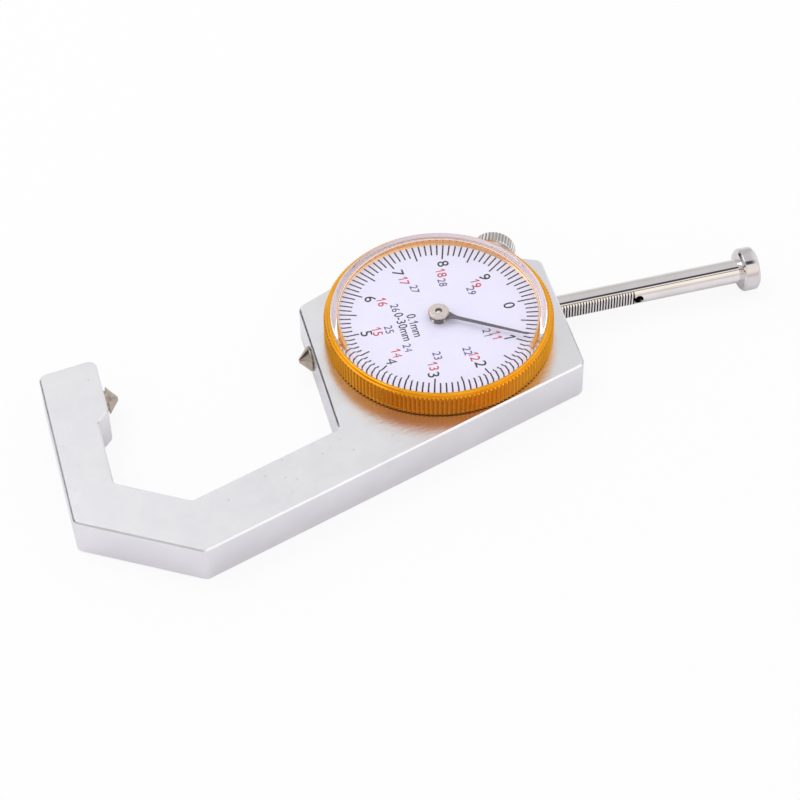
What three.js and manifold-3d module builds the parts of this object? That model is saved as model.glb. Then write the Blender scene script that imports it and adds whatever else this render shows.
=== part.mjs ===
// Dial thickness gauge, in millimetres, +Z up.
// The gauge lies on its back. The origin is on the back plane, right under the pointer's arbor.
// +X runs along the spindle towards its thumb knob, +Z comes out of the dial, +Y points at the lock screw.
// A C-shaped frame holds a fixed cone tip in its arm and carries a sliding rod with a second cone tip.
// Teeth cut along the rod turn a pinion, and the pinion's arbor carries the pointer over the dial.
import * as THREE from 'three'
import { mergeVertices } from 'three/addons/utils/BufferGeometryUtils.js'
import Module from 'manifold-3d'

const wasm = await Module()
wasm.setup()

// Clearances and cutting
const running_clearance = 0.1
const press_clearance = 0.05
const seat_gap = 0.05
const overrun = 1

// Measuring gap and reach
const gap_open = 30.92
const anvil_reach = 2.3
const spindle_reach = 2.1

// Frame, seen from above
const frame_thickness = 7.5
const frame_bottom_round = 0.6
const frame_top_chamfer = 0.2
const body_width = 42.8
const left_shoulder_rise = 8.85
const right_shoulder_rise = 8.35
const shoulder_angle = 23.4
const crown_rise = 14
const arm_width = 7.75
const arm_head_width = 9.8
const arm_head_rise = 6.45
const arm_head_tilt = 7.3
const arm_head_fall = 5.6
const notch_angle = 45
const elbow_run = 18.75
const elbow_drop = 38.6
const diagonal_angle = 31.25
const diagonal_width = 9.45
const bar_angle = 17.5
const bar_width = 10.25
const body_corner_radius = 1.6
const arm_corner_radius = 1.4
const elbow_corner_radius = 1.2
const throat_corner_radius = 0.9
const notch_corner_radius = 0.9

// Spindle rod and its rack
const rod_radius = 2.05
const rod_length = 75.65
const rack_pitch = 0.5
const rack_start = -2
const rack_tooth_count = 74
const rack_root_offset = 1.3
const rack_addendum = 0.16
const tooth_root_clearance = 0.05
const tooth_backlash = 0.05
const pressure_angle = 20
const rack_hole_radius = 0.8
const rack_hole_depth = 1.2
const rod_end_chamfer = 0.15

// Cone tips
const tip_flat_radius = 0.33
const spindle_cone_radius = 2.15
const spindle_cone_length = 1.75
const spindle_cone_rim = 0.2
const anvil_cone_radius = 2.25
const anvil_cone_length = 1.65
const anvil_cone_rim = 0.15
const tip_neck_radius = 1.75
const tip_shank_radius = 1
const tip_shank_length = 4
const spindle_neck_length = 0.3

// Thumb knob
const knob_radius = 3.72
const knob_length = 3
const knob_chamfer = 0.45
const knob_spigot_radius = 1.4
const knob_spigot_length = 1.9

// Pinion arbor
const pinion_tooth_count = 20
const pinion_width = 2.3
const arbor_radius = 0.9
const arbor_waist_radius = 0.75
const arbor_tip_radius = 0.55
const pivot_radius = 0.45
const pivot_length = 0.9
const pocket_radius = 6
const pocket_floor = 1.2
const bush_radius = 1.4
const bush_sink = 0.7
const bush_stand = 0.2

// Hairspring
const hairspring_thickness = 0.16
const hairspring_width = 0.45
const hairspring_turns = 4
const hairspring_inner_radius = 1.75
const hairspring_margin = 1.6
const hairspring_bottom = 6.35
const collet_radius = 1.5
const collet_height = 0.8
const stud_radius = 0.4
const stud_height = 1.2

// Movement bridge
const bridge_screw_wall = 1.5
const bridge_end_margin = 1.5
const bridge_width = 5.6
const bridge_thickness = 1
const bridge_corner_radius = 2.2
const bridge_screw_head_radius = 1.3
const bridge_screw_head_height = 0.6
const bridge_screw_shank_radius = 0.65
const bridge_screw_length = 3.6
const screw_slot_width = 0.35
const screw_slot_depth = 0.25

// Bezel, its wave spring and its retainer
const bezel_radius = 19.2
const bezel_gap = 0.6
const knurl_count = 160
const knurl_depth = 0.32
const knurl_height = 3.3
const knurl_chamfer = 0.3
const bezel_rim_height = 0.55
const bezel_rim_step = 0.28
const bezel_rim_round = 0.2
const bezel_lip_width = 0.5
const bezel_flange_reach = 2.05
const bezel_flange_height = 0.75
const wave_thickness = 0.15
const wave_width = 1.2
const wave_count = 6
const wave_clearance = 0.02
const retainer_width = 3.2
const retainer_lip = 0.8
const retainer_lip_height = 0.4
const retainer_running_gap = 0.3
const retainer_screw_count = 3
const retainer_screw_turn = 0
const retainer_screw_head_radius = 1.3
const retainer_screw_head_height = 0.6
const retainer_screw_shank_radius = 0.7
const retainer_screw_length = 4.2

// Dial and crystal
const dial_thickness = 0.4
const dial_lift = 0.45
const dial_hole_radius = 1.2
const crystal_rim_width = 1
const crystal_clearance = 0.05
const crystal_thickness = 1.1
const crystal_rise = 1.95
const crystal_bevel = 0.6

// Pointer
const hub_radius = 1.5
const hub_cap_radius = 1.78
const hub_cap_height = 0.35
const hub_cap_round = 0.12
const hub_lift = 0.15
const hub_height = 1.05
const hub_recess_depth = 0.1
const needle_rim_gap = 1.4
const needle_thickness = 0.15
const needle_ring_width = 0.2
const needle_root_width = 1.5
const needle_waist_reach = 4.2
const needle_waist_width = 0.62
const needle_tip_width = 0.14
const needle_tail_width = 0.3

// Lock screw
const lock_reach = 3.6
const lock_head_radius = 3.7
const lock_head_length = 2.25
const lock_head_chamfer = 0.25
const lock_knurl_count = 36
const lock_knurl_depth = 0.22
const lock_shank_radius = 1.4
const lock_pad_radius = 1.2
const lock_pad_length = 1.6
const lock_pad_gap = 0.35
const lock_pad_recess = 0.5
const lock_foot_share = 0.39

// Facets
const round_segments = 28
const small_segments = 16
const dial_segments = 64
const corner_segments = 3
const wave_segments = 48

// Colours, roughness and metalness
const finishes = {
  frame: { color: 0xd9dadd, roughness: 0.38, metalness: 0.9 },
  steel: { color: 0xcfcbc8, roughness: 0.12, metalness: 1 },
  tip: { color: 0xb3a99e, roughness: 0.25, metalness: 1 },
  nickel: { color: 0xcdc9c4, roughness: 0.25, metalness: 1 },
  gold: { color: 0xf0a014, roughness: 0.25, metalness: 1 },
  brass: { color: 0xc9a557, roughness: 0.3, metalness: 1 },
  spring: { color: 0x6f7a94, roughness: 0.25, metalness: 1 },
  dial: { color: 0xe6e4f7, roughness: 0.5, metalness: 0 },
  crystal: { color: 0xf4f2fb, roughness: 0.03, metalness: 0 },
  needle: { color: 0x4c4a50, roughness: 0.35, metalness: 0.6 },
}

const half_turn = Math.PI
const full_turn = 2 * Math.PI
const quarter_turn = Math.PI / 2
const radians = THREE.MathUtils.degToRad
const upright = THREE.MathUtils.radToDeg(quarter_turn)
const level = 0

// Geometry helpers

// Merges shared corners, drops collapsed triangles and turns the faces outwards.
function closed(geometry) {
  geometry.deleteAttribute('normal')
  geometry.deleteAttribute('uv')
  const merged = mergeVertices(geometry, merge_tolerance)
  const corners = merged.getAttribute('position')
  const source = merged.getIndex().array
  const kept = []
  let volume = 0
  const a = new THREE.Vector3()
  const b = new THREE.Vector3()
  const c = new THREE.Vector3()
  for (let i = 0; i < source.length; i += 3) {
    const [p, q, r] = [source[i], source[i + 1], source[i + 2]]
    if (p === q || q === r || r === p) continue
    kept.push(p, q, r)
    a.fromBufferAttribute(corners, p)
    b.fromBufferAttribute(corners, q)
    c.fromBufferAttribute(corners, r)
    volume += a.dot(b.cross(c))
  }
  if (volume < 0) kept.reverse()
  merged.setIndex(kept)
  return merged
}

const merge_tolerance = 1e-4

// A closed geometry as a solid that can be joined and cut.
function solid(geometry) {
  const whole = closed(geometry)
  const vertProperties = new Float32Array(whole.getAttribute('position').array)
  const triVerts = new Uint32Array(whole.getIndex().array)
  return new wasm.Manifold(new wasm.Mesh({ numProp: 3, vertProperties, triVerts }))
}

// The triangles of a solid as a geometry.
function geometry_of(body) {
  const mesh = body.getMesh()
  const geometry = new THREE.BufferGeometry()
  const corners = new Float32Array(mesh.vertProperties)
  geometry.setAttribute('position', new THREE.BufferAttribute(corners, mesh.numProp))
  geometry.setIndex(Array.from(mesh.triVerts))
  return geometry
}

// A profile of [radius, height] points revolved about +Z. It starts and ends on the axis, or closes.
function revolve(profile, segments) {
  const points = profile.map(([radius, height]) => new THREE.Vector2(radius, height))
  return new THREE.LatheGeometry(points, segments).rotateX(quarter_turn)
}

// A closed ring profile revolved about +Z.
function revolve_ring(profile, segments) {
  return revolve([...profile, profile[0]], segments)
}

// A plain rod about +Z from one height to another.
function rod(radius, bottom, top, segments) {
  return revolve([[0, bottom], [radius, bottom], [radius, top], [0, top]], segments)
}

// Turns a geometry made about +Z so that its axis runs along +X.
function along_x(geometry) {
  return geometry.rotateY(quarter_turn)
}

// An outline of [x, y] points extruded from one height to another.
function prism(outline, bottom, top) {
  const shape = new THREE.Shape(outline.map(([x, y]) => new THREE.Vector2(x, y)))
  const depth = top - bottom
  return new THREE.ExtrudeGeometry(shape, { depth, bevelEnabled: false }).translate(0, 0, bottom)
}

// An outline of [x, y] points from corners of [x, y, radius], each rounded by an arc.
function rounded_outline(corners, segments) {
  const outline = []
  corners.forEach(([x, y, radius], i) => {
    const here = new THREE.Vector2(x, y)
    const before = new THREE.Vector2(...corners.at(i - 1).slice(0, -1))
    const after = new THREE.Vector2(...corners[(i + 1) % corners.length].slice(0, -1))
    const back = before.sub(here).normalize()
    const ahead = after.sub(here).normalize()
    const half_corner = Math.acos(THREE.MathUtils.clamp(back.dot(ahead), -1, 1)) / 2
    const inwards = back.clone().add(ahead).normalize()
    const centre = here.clone().addScaledVector(inwards, radius / Math.sin(half_corner))
    const start = here.clone().addScaledVector(back, radius / Math.tan(half_corner)).sub(centre)
    const turn = (half_turn - 2 * half_corner) * (back.cross(ahead) < 0 ? 1 : -1)
    for (let step = 0; step <= segments; step += 1) {
      const point = start.clone().rotateAround(origin, (step * turn) / segments).add(centre)
      outline.push([point.x, point.y])
    }
  })
  return outline
}

const origin = new THREE.Vector2()

// Where two lines cross, each given by a point and an angle in degrees.
function crossing(point, angle, other_point, other_angle) {
  const [c1, s1] = [Math.cos(radians(angle)), Math.sin(radians(angle))]
  const [c2, s2] = [Math.cos(radians(other_angle)), Math.sin(radians(other_angle))]
  const dx = other_point[0] - point[0]
  const dy = other_point[1] - point[1]
  const along = (dx * s2 - dy * c2) / (c1 * s2 - s1 * c2)
  return [point[0] + along * c1, point[1] + along * s1]
}

// A point moved square to a line at the given angle, to the line's left.
function offset_left(point, angle, distance) {
  return [point[0] - distance * Math.sin(radians(angle)), point[1] + distance * Math.cos(radians(angle))]
}

// A star outline with one point at each ridge and one at each groove.
function knurl_outline(radius, depth, count) {
  const outline = []
  for (let i = 0; i < 2 * count; i += 1) {
    const angle = (i * half_turn) / count
    const reach = i % 2 === 0 ? radius : radius - depth
    outline.push([reach * Math.cos(angle), reach * Math.sin(angle)])
  }
  return outline
}

const group = new THREE.Group()

function add(name, geometry, finish) {
  const material = new THREE.MeshStandardMaterial(finishes[finish])
  const mesh = new THREE.Mesh(closed(geometry), material)
  mesh.name = name
  group.add(mesh)
}

// Places worked out from the sizes above
const pitch_radius = (rack_pitch * pinion_tooth_count) / full_turn
const pitch_offset = rack_root_offset + rack_addendum + tooth_root_clearance
const spindle_y = pitch_radius + pitch_offset
const spindle_z = frame_thickness / 2
const body_left = -body_width / 2
const body_right = body_width / 2
const spindle_tip_x = body_left - spindle_reach
const anvil_tip_x = spindle_tip_x - gap_open
const arm_face_x = anvil_tip_x - anvil_reach
const arm_outer_x = arm_face_x - arm_head_width
const arm_neck_x = arm_outer_x + arm_width
const bore_radius = rod_radius + running_clearance
const hairspring_outer_radius = pocket_radius - hairspring_margin
const bridge_screw_reach = pocket_radius + bridge_screw_wall

// Frame

// The corners of the C, anticlockwise from the outer corner under the arm.
function frame_outline() {
  const elbow = [arm_outer_x + elbow_run, spindle_y - elbow_drop]
  const arm_outer = [arm_outer_x, spindle_y]
  const outer_low = crossing(elbow, -diagonal_angle, arm_outer, upright)
  const body_side = [body_right, spindle_y]
  const bar_end = crossing(elbow, bar_angle, body_side, upright)
  const right_shoulder = [body_right, spindle_y + right_shoulder_rise]
  const left_shoulder = [body_left, spindle_y + left_shoulder_rise]
  const crown = [0, spindle_y + crown_rise]
  const right_crown = crossing(right_shoulder, -shoulder_angle, crown, level)
  const left_crown = crossing(left_shoulder, shoulder_angle, crown, level)
  const bar_inner = offset_left(elbow, bar_angle, bar_width)
  const diagonal_inner = offset_left(elbow, -diagonal_angle, diagonal_width)
  const body_foot = crossing(bar_inner, bar_angle, left_shoulder, upright)
  const throat_right = crossing(bar_inner, bar_angle, diagonal_inner, -diagonal_angle)
  const throat_left = crossing(diagonal_inner, -diagonal_angle, [arm_neck_x, spindle_y], upright)
  const notch_outer = [arm_face_x, spindle_y - arm_head_fall]
  const notch_inner = crossing(notch_outer, notch_angle, [arm_neck_x, spindle_y], upright)
  const head_right = [arm_face_x, spindle_y + arm_head_rise]
  const head_left = crossing(head_right, arm_head_tilt, arm_outer, upright)
  return [
    [...outer_low, elbow_corner_radius],
    [...elbow, elbow_corner_radius],
    [...bar_end, body_corner_radius],
    [...right_shoulder, body_corner_radius],
    [...right_crown, body_corner_radius],
    [...left_crown, body_corner_radius],
    [...left_shoulder, body_corner_radius],
    [...body_foot, throat_corner_radius],
    [...throat_right, throat_corner_radius],
    [...throat_left, throat_corner_radius],
    [...notch_inner, notch_corner_radius],
    [...notch_outer, notch_corner_radius],
    [...head_right, arm_corner_radius],
    [...head_left, arm_corner_radius],
  ]
}

// The outline extruded with one edge treatment at both ends, from the bottom height to the top height.
function frame_blank(edge, edge_segments, bottom, top) {
  const outline = rounded_outline(frame_outline(), corner_segments)
  const shape = new THREE.Shape(outline.map(([x, y]) => new THREE.Vector2(x, y)))
  const geometry = new THREE.ExtrudeGeometry(shape, {
    depth: top - bottom - 2 * edge,
    bevelThickness: edge,
    bevelSize: edge,
    bevelOffset: -edge,
    bevelSegments: edge_segments,
  })
  return solid(geometry.translate(0, 0, bottom + edge))
}

// The lock screw's line runs square to the right shoulder, at the height of the spindle.
const shoulder_start = [body_right, spindle_y + right_shoulder_rise]
const shoulder_run = (crown_rise - right_shoulder_rise) / Math.sin(radians(shoulder_angle))
const lock_foot_run = shoulder_run * (1 - lock_foot_share)
const lock_foot_x = shoulder_start[0] - lock_foot_run * Math.cos(radians(shoulder_angle))
const lock_foot_y = shoulder_start[1] + lock_foot_run * Math.sin(radians(shoulder_angle))

// Moves a piece made about +Z, with its zero at the frame's face, onto the lock screw's line.
function onto_lock_line(geometry) {
  return geometry
    .rotateX(-quarter_turn)
    .rotateZ(-radians(shoulder_angle))
    .translate(lock_foot_x, lock_foot_y, spindle_z)
}

// How far below the frame's face the pad's round nose is centred, when it is drawn back by its gap.
const lock_depth_to_axis = (lock_foot_y - spindle_y) / Math.cos(radians(shoulder_angle))
const nose_stand_off = (rod_radius + lock_pad_radius) / Math.cos(radians(shoulder_angle))
const nose_centre = -(lock_depth_to_axis - nose_stand_off - lock_pad_gap)

const retainer_screw_angles = Array.from(
  { length: retainer_screw_count },
  (_, i) => radians(retainer_screw_turn) + (i * full_turn) / retainer_screw_count,
)
const bridge_screw_sides = [1, -1]

function frame() {
  const tall = frame_blank(frame_bottom_round, corner_segments, 0, frame_thickness + 2 * frame_bottom_round)
  const low = frame_blank(frame_top_chamfer, 1, -2 * frame_top_chamfer, frame_thickness)
  let body = tall.intersect(low)
  const cut = (geometry) => {
    body = body.subtract(solid(geometry))
  }
  const bore = rod(bore_radius, body_left - overrun, body_right + overrun, round_segments)
  cut(along_x(bore).translate(0, spindle_y, spindle_z))
  cut(rod(pocket_radius, pocket_floor, frame_thickness + overrun, round_segments))
  const bush_hole = bush_radius + press_clearance
  cut(rod(bush_hole, pocket_floor - bush_sink - seat_gap, pocket_floor + overrun, small_segments))
  const shank_hole = tip_shank_radius + running_clearance
  const shank_bottom = arm_face_x - tip_shank_length - running_clearance
  const anvil_hole = rod(shank_hole, shank_bottom, arm_face_x + overrun, small_segments)
  cut(along_x(anvil_hole).translate(0, spindle_y, spindle_z))
  const lock_hole = lock_shank_radius + running_clearance
  cut(onto_lock_line(rod(lock_hole, -lock_depth_to_axis, overrun, small_segments)))
  const bridge_hole = bridge_screw_shank_radius + running_clearance
  const bridge_hole_bottom = frame_thickness + bridge_thickness - bridge_screw_length - running_clearance
  for (const side of bridge_screw_sides) {
    const hole = rod(bridge_hole, bridge_hole_bottom, frame_thickness + overrun, small_segments)
    cut(hole.translate(0, side * bridge_screw_reach, 0))
  }
  const retainer_hole = retainer_screw_shank_radius + running_clearance
  const retainer_hole_bottom = retainer_top - retainer_screw_length - running_clearance
  for (const angle of retainer_screw_angles) {
    const hole = rod(retainer_hole, retainer_hole_bottom, frame_thickness + overrun, small_segments)
    const [x, y] = [retainer_screw_circle * Math.cos(angle), retainer_screw_circle * Math.sin(angle)]
    cut(hole.translate(x, y, 0))
  }
  return geometry_of(body)
}

// Cone tips

// A cone with its flat nose at zero, pointing along -Z, with a rim, a neck and a plain shank behind it.
function cone_tip(cone_radius, cone_length, rim, neck_end, shank_end) {
  const rim_end = cone_length + rim
  const profile = [
    [0, 0],
    [tip_flat_radius, 0],
    [cone_radius, cone_length],
    [cone_radius, rim_end],
    [tip_neck_radius, rim_end],
    [tip_neck_radius, neck_end],
    [tip_shank_radius, neck_end],
    [tip_shank_radius, shank_end],
    [0, shank_end],
  ]
  return revolve(profile, round_segments)
}

function anvil_tip() {
  const shank_end = anvil_reach + tip_shank_length
  const cone = cone_tip(anvil_cone_radius, anvil_cone_length, anvil_cone_rim, anvil_reach, shank_end)
  return along_x(cone).rotateZ(half_turn).translate(anvil_tip_x, spindle_y, spindle_z)
}

const spindle_rim_end = spindle_cone_length + spindle_cone_rim
const rod_front_x = spindle_tip_x + spindle_rim_end + spindle_neck_length
const rod_rear_x = rod_front_x + rod_length

function spindle_tip() {
  const neck_end = spindle_rim_end + spindle_neck_length
  const shank_end = neck_end + tip_shank_length
  const cone = cone_tip(spindle_cone_radius, spindle_cone_length, spindle_cone_rim, neck_end, shank_end)
  return along_x(cone).translate(spindle_tip_x, spindle_y, spindle_z)
}

// Spindle rod

// The rack's cutting comb: everything beyond the tooth flanks, as an outline along the rod.
function rack_comb() {
  const slope = Math.tan(radians(pressure_angle))
  const half_space = rack_pitch / 4 + tooth_backlash / 4
  const root = -rack_root_offset
  const tip = -pitch_offset - rack_addendum
  const outside = -rod_radius - overrun
  const half_root = half_space - slope * (pitch_offset - rack_root_offset)
  const half_tip = half_space + slope * rack_addendum
  const outline = [[rack_start, outside]]
  for (let i = 0; i < rack_tooth_count; i += 1) {
    const x = rack_start + (i + 1) * rack_pitch
    outline.push([x - half_tip, tip], [x - half_root, root], [x + half_root, root], [x + half_tip, tip])
  }
  outline[0][0] = outline[1][0]
  outline.push([outline.at(-1)[0], outside])
  return outline
}

function spindle_rod() {
  const inner = rod_rear_x + knob_spigot_length - seat_gap
  const profile = [
    [0, rod_front_x],
    [rod_radius - rod_end_chamfer, rod_front_x],
    [rod_radius, rod_front_x + rod_end_chamfer],
    [rod_radius, rod_rear_x],
    [knob_spigot_radius, rod_rear_x],
    [knob_spigot_radius, inner],
    [0, inner],
  ]
  let body = solid(along_x(revolve(profile, round_segments)))
  const comb = prism(rack_comb(), -rod_radius - overrun, rod_radius + overrun)
  body = body.subtract(solid(comb))
  const shank_hole = tip_shank_radius + running_clearance
  const shank_end = rod_front_x + tip_shank_length + running_clearance
  const socket = rod(shank_hole, rod_front_x - overrun, shank_end, small_segments)
  body = body.subtract(solid(along_x(socket)))
  const rack_end = rack_start + rack_tooth_count * rack_pitch
  const drill = rod(rack_hole_radius, rod_radius - rack_hole_depth, rod_radius + overrun, small_segments)
  drill.rotateX(quarter_turn).translate(rack_end + rack_hole_radius + seat_gap, 0, 0)
  body = body.subtract(solid(drill))
  return geometry_of(body).translate(0, spindle_y, spindle_z)
}

function spindle_knob() {
  const socket_radius = knob_spigot_radius + running_clearance
  const profile = [
    [socket_radius, 0],
    [knob_radius - knob_chamfer, 0],
    [knob_radius, knob_chamfer],
    [knob_radius, knob_length - knob_chamfer],
    [knob_radius - knob_chamfer, knob_length],
    [0, knob_length],
    [0, knob_spigot_length],
    [socket_radius, knob_spigot_length],
  ]
  return along_x(revolve_ring(profile, round_segments)).translate(rod_rear_x, spindle_y, spindle_z)
}

// Pinion arbor and its bearings

const bush_top = pocket_floor + bush_stand
const pinion_bottom = spindle_z - pinion_width / 2
const pinion_top = spindle_z + pinion_width / 2
const bridge_bottom = frame_thickness
const bridge_top = frame_thickness + bridge_thickness
const bezel_bottom = frame_thickness + bezel_gap
const bezel_flange_top = bezel_bottom + bezel_flange_height
const retainer_top = bezel_flange_top + running_clearance + retainer_lip_height
const dial_bottom = retainer_top + dial_lift
const dial_top = dial_bottom + dial_thickness
const hub_bottom = dial_top + hub_lift
const hub_top = hub_bottom + hub_height + hub_cap_height

// The involute angle that a flank has turned through at a radius.
function involute(radius) {
  const base = pitch_radius * Math.cos(radians(pressure_angle))
  const slant = Math.acos(Math.min(base / radius, 1))
  return Math.tan(slant) - slant
}

function pinion_outline() {
  const root = pitch_radius - rack_addendum - tooth_root_clearance
  const outer = pitch_radius + rack_addendum
  const base = pitch_radius * Math.cos(radians(pressure_angle))
  const half_tooth = quarter_turn / pinion_tooth_count - tooth_backlash / (4 * pitch_radius)
  const flank = [base, pitch_radius, outer]
  const half_angles = flank.map((radius) => half_tooth + involute(pitch_radius) - involute(radius))
  const outline = []
  for (let i = 0; i < pinion_tooth_count; i += 1) {
    const middle = quarter_turn + (i * full_turn) / pinion_tooth_count
    const rising = flank.map((radius, k) => [radius, middle - half_angles[k]])
    const falling = flank.map((radius, k) => [radius, middle + half_angles[k]]).reverse()
    const points = [[root, middle - half_angles[0]], ...rising, ...falling, [root, middle + half_angles[0]]]
    outline.push(...points.map(([radius, angle]) => [radius * Math.cos(angle), radius * Math.sin(angle)]))
  }
  return outline
}

function pinion_arbor() {
  const pivot_shoulder = bush_top + seat_gap
  const collet_top = hairspring_bottom + collet_height
  const tip_bottom = hub_bottom - seat_gap
  const profile = [
    [0, pivot_shoulder - pivot_length],
    [pivot_radius, pivot_shoulder - pivot_length],
    [pivot_radius, pivot_shoulder],
    [arbor_radius, pivot_shoulder],
    [arbor_radius, collet_top],
    [arbor_waist_radius, collet_top],
    [arbor_waist_radius, tip_bottom],
    [arbor_tip_radius, tip_bottom],
    [arbor_tip_radius, hub_top - hub_recess_depth],
    [0, hub_top - hub_recess_depth],
  ]
  const shaft = solid(revolve(profile, small_segments))
  const teeth = solid(prism(pinion_outline(), pinion_bottom, pinion_top))
  return geometry_of(shaft.add(teeth))
}

// A plain ring about +Z.
function ring(inner, outer, bottom, top, segments) {
  return revolve_ring([[inner, bottom], [outer, bottom], [outer, top], [inner, top]], segments)
}

function pinion_bush() {
  return ring(pivot_radius + running_clearance, bush_radius, pocket_floor - bush_sink, bush_top, small_segments)
}

function hairspring_collet() {
  const inner = arbor_radius + press_clearance
  return ring(inner, collet_radius, hairspring_bottom, hairspring_bottom + collet_height, small_segments)
}

// A flat spiral strip from beside the collet out to the stud.
function hairspring() {
  const steps_per_turn = round_segments
  const steps = hairspring_turns * steps_per_turn
  const side = (shift) =>
    Array.from({ length: steps + 1 }, (_, i) => {
      const angle = (i * full_turn) / steps_per_turn
      const radius = THREE.MathUtils.lerp(hairspring_inner_radius, hairspring_outer_radius, i / steps) + shift
      return [radius * Math.cos(angle), radius * Math.sin(angle)]
    })
  const outline = [...side(-hairspring_thickness / 2), ...side(hairspring_thickness / 2).reverse()]
  return prism(outline, hairspring_bottom, hairspring_bottom + hairspring_width)
}

function hairspring_stud() {
  const reach = hairspring_outer_radius + hairspring_thickness / 2 + seat_gap + stud_radius
  const post = rod(stud_radius, bridge_bottom - stud_height, bridge_bottom, small_segments)
  return post.translate(reach * Math.cos(stud_turn), reach * Math.sin(stud_turn), 0)
}

// The stud stands beside the spiral's outer end, a little way back along the strip.
const stud_turn = -half_turn / round_segments

function movement_bridge() {
  const half_length = bridge_screw_reach + bridge_end_margin
  const half_width = bridge_width / 2
  const corners = [
    [-half_width, -half_length, bridge_corner_radius],
    [half_width, -half_length, bridge_corner_radius],
    [half_width, half_length, bridge_corner_radius],
    [-half_width, half_length, bridge_corner_radius],
  ]
  let body = solid(prism(rounded_outline(corners, corner_segments), bridge_bottom, bridge_top))
  const cut = (geometry) => {
    body = body.subtract(solid(geometry))
  }
  const [low, high] = [bridge_bottom - overrun, bridge_top + overrun]
  cut(rod(arbor_waist_radius + running_clearance, low, high, small_segments))
  for (const side of bridge_screw_sides) {
    const hole = rod(bridge_screw_shank_radius + running_clearance, low, high, small_segments)
    cut(hole.translate(0, side * bridge_screw_reach, 0))
  }
  return geometry_of(body)
}

// A slotted cheese-head screw, with its head's underside at zero and its shank below.
function slotted_screw(head_radius, head_height, shank_radius, shank_length) {
  const profile = [
    [0, -shank_length],
    [shank_radius, -shank_length],
    [shank_radius, 0],
    [head_radius, 0],
    [head_radius, head_height],
    [0, head_height],
  ]
  const blank = solid(revolve(profile, small_segments))
  const slot = new THREE.BoxGeometry(2 * head_radius + overrun, screw_slot_width, 2 * screw_slot_depth)
  return geometry_of(blank.subtract(solid(slot.translate(0, 0, head_height))))
}

function bridge_screw(side) {
  const screw = slotted_screw(
    bridge_screw_head_radius,
    bridge_screw_head_height,
    bridge_screw_shank_radius,
    bridge_screw_length,
  )
  return screw.translate(0, side * bridge_screw_reach, bridge_top)
}

// Bezel, wave spring and retainer

const bezel_bore = bezel_radius - knurl_depth - bezel_rim_step - bezel_lip_width
const bezel_ledge = bezel_bore - crystal_rim_width
const bezel_flange_inner = bezel_bore - bezel_flange_reach
const knurl_top = bezel_bottom + knurl_height
const bezel_rim_foot = knurl_top + knurl_chamfer
const bezel_top = bezel_rim_foot + bezel_rim_height
const retainer_outer = bezel_flange_inner - retainer_running_gap
const retainer_inner = retainer_outer - retainer_width
const retainer_screw_circle = (retainer_outer + retainer_inner) / 2

function bezel_ring() {
  const rim_radius = bezel_bore + bezel_lip_width
  const profile = [
    [bezel_flange_inner, bezel_bottom],
    [bezel_radius + seat_gap, bezel_bottom],
    [bezel_radius + seat_gap, knurl_top - seat_gap],
    [bezel_radius - knurl_chamfer, bezel_rim_foot],
    [rim_radius, bezel_rim_foot],
    [rim_radius, bezel_top - bezel_rim_round],
    [rim_radius - bezel_rim_round, bezel_top],
    [bezel_bore, bezel_top],
    [bezel_bore, dial_bottom - seat_gap],
    [bezel_ledge, dial_bottom - seat_gap],
    [bezel_ledge, bezel_flange_top],
    [bezel_flange_inner, bezel_flange_top],
  ]
  const turned = solid(revolve_ring(profile, dial_segments))
  const outline = knurl_outline(bezel_radius, knurl_depth, knurl_count)
  const knurled = solid(prism(outline, bezel_bottom - overrun, bezel_top + overrun))
  return geometry_of(turned.intersect(knurled))
}

// A thin wavy ring that presses the bezel up against its retainer.
function bezel_spring() {
  const inner = bezel_flange_inner
  const outer = bezel_flange_inner + wave_width
  const low = frame_thickness + wave_clearance
  const swing = bezel_gap - wave_thickness - 2 * wave_clearance
  const positions = []
  for (let i = 0; i < wave_segments; i += 1) {
    const angle = (i * full_turn) / wave_segments
    const bottom = low + (swing * (1 - Math.cos(wave_count * angle))) / 2
    const top = bottom + wave_thickness
    for (const [radius, height] of [[inner, bottom], [outer, bottom], [outer, top], [inner, top]]) {
      positions.push(radius * Math.cos(angle), radius * Math.sin(angle), height)
    }
  }
  const index = []
  const sides = positions.length / (3 * wave_segments)
  for (let i = 0; i < wave_segments; i += 1) {
    const next = (i + 1) % wave_segments
    for (let k = 0; k < sides; k += 1) {
      const [a, b] = [i * sides + k, i * sides + ((k + 1) % sides)]
      const [c, d] = [next * sides + k, next * sides + ((k + 1) % sides)]
      index.push(a, b, d, a, d, c)
    }
  }
  const geometry = new THREE.BufferGeometry()
  geometry.setAttribute('position', new THREE.Float32BufferAttribute(positions, 3))
  geometry.setIndex(index)
  return geometry
}

function bezel_retainer() {
  const lip_outer = retainer_outer + retainer_lip
  const lip_bottom = retainer_top - retainer_lip_height
  const profile = [
    [retainer_inner, frame_thickness],
    [retainer_outer, frame_thickness],
    [retainer_outer, lip_bottom],
    [lip_outer, lip_bottom],
    [lip_outer, retainer_top],
    [retainer_inner, retainer_top],
  ]
  let body = solid(revolve_ring(profile, dial_segments))
  for (const angle of retainer_screw_angles) {
    const [x, y] = [retainer_screw_circle * Math.cos(angle), retainer_screw_circle * Math.sin(angle)]
    const shank = retainer_screw_shank_radius + running_clearance
    const head = retainer_screw_head_radius + running_clearance
    const seat = retainer_top - retainer_screw_head_height
    const through = rod(shank, frame_thickness - overrun, retainer_top + overrun, small_segments)
    const counterbore = rod(head, seat, retainer_top + overrun, small_segments)
    body = body.subtract(solid(through.translate(x, y, 0)))
    body = body.subtract(solid(counterbore.translate(x, y, 0)))
  }
  return geometry_of(body)
}

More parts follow.
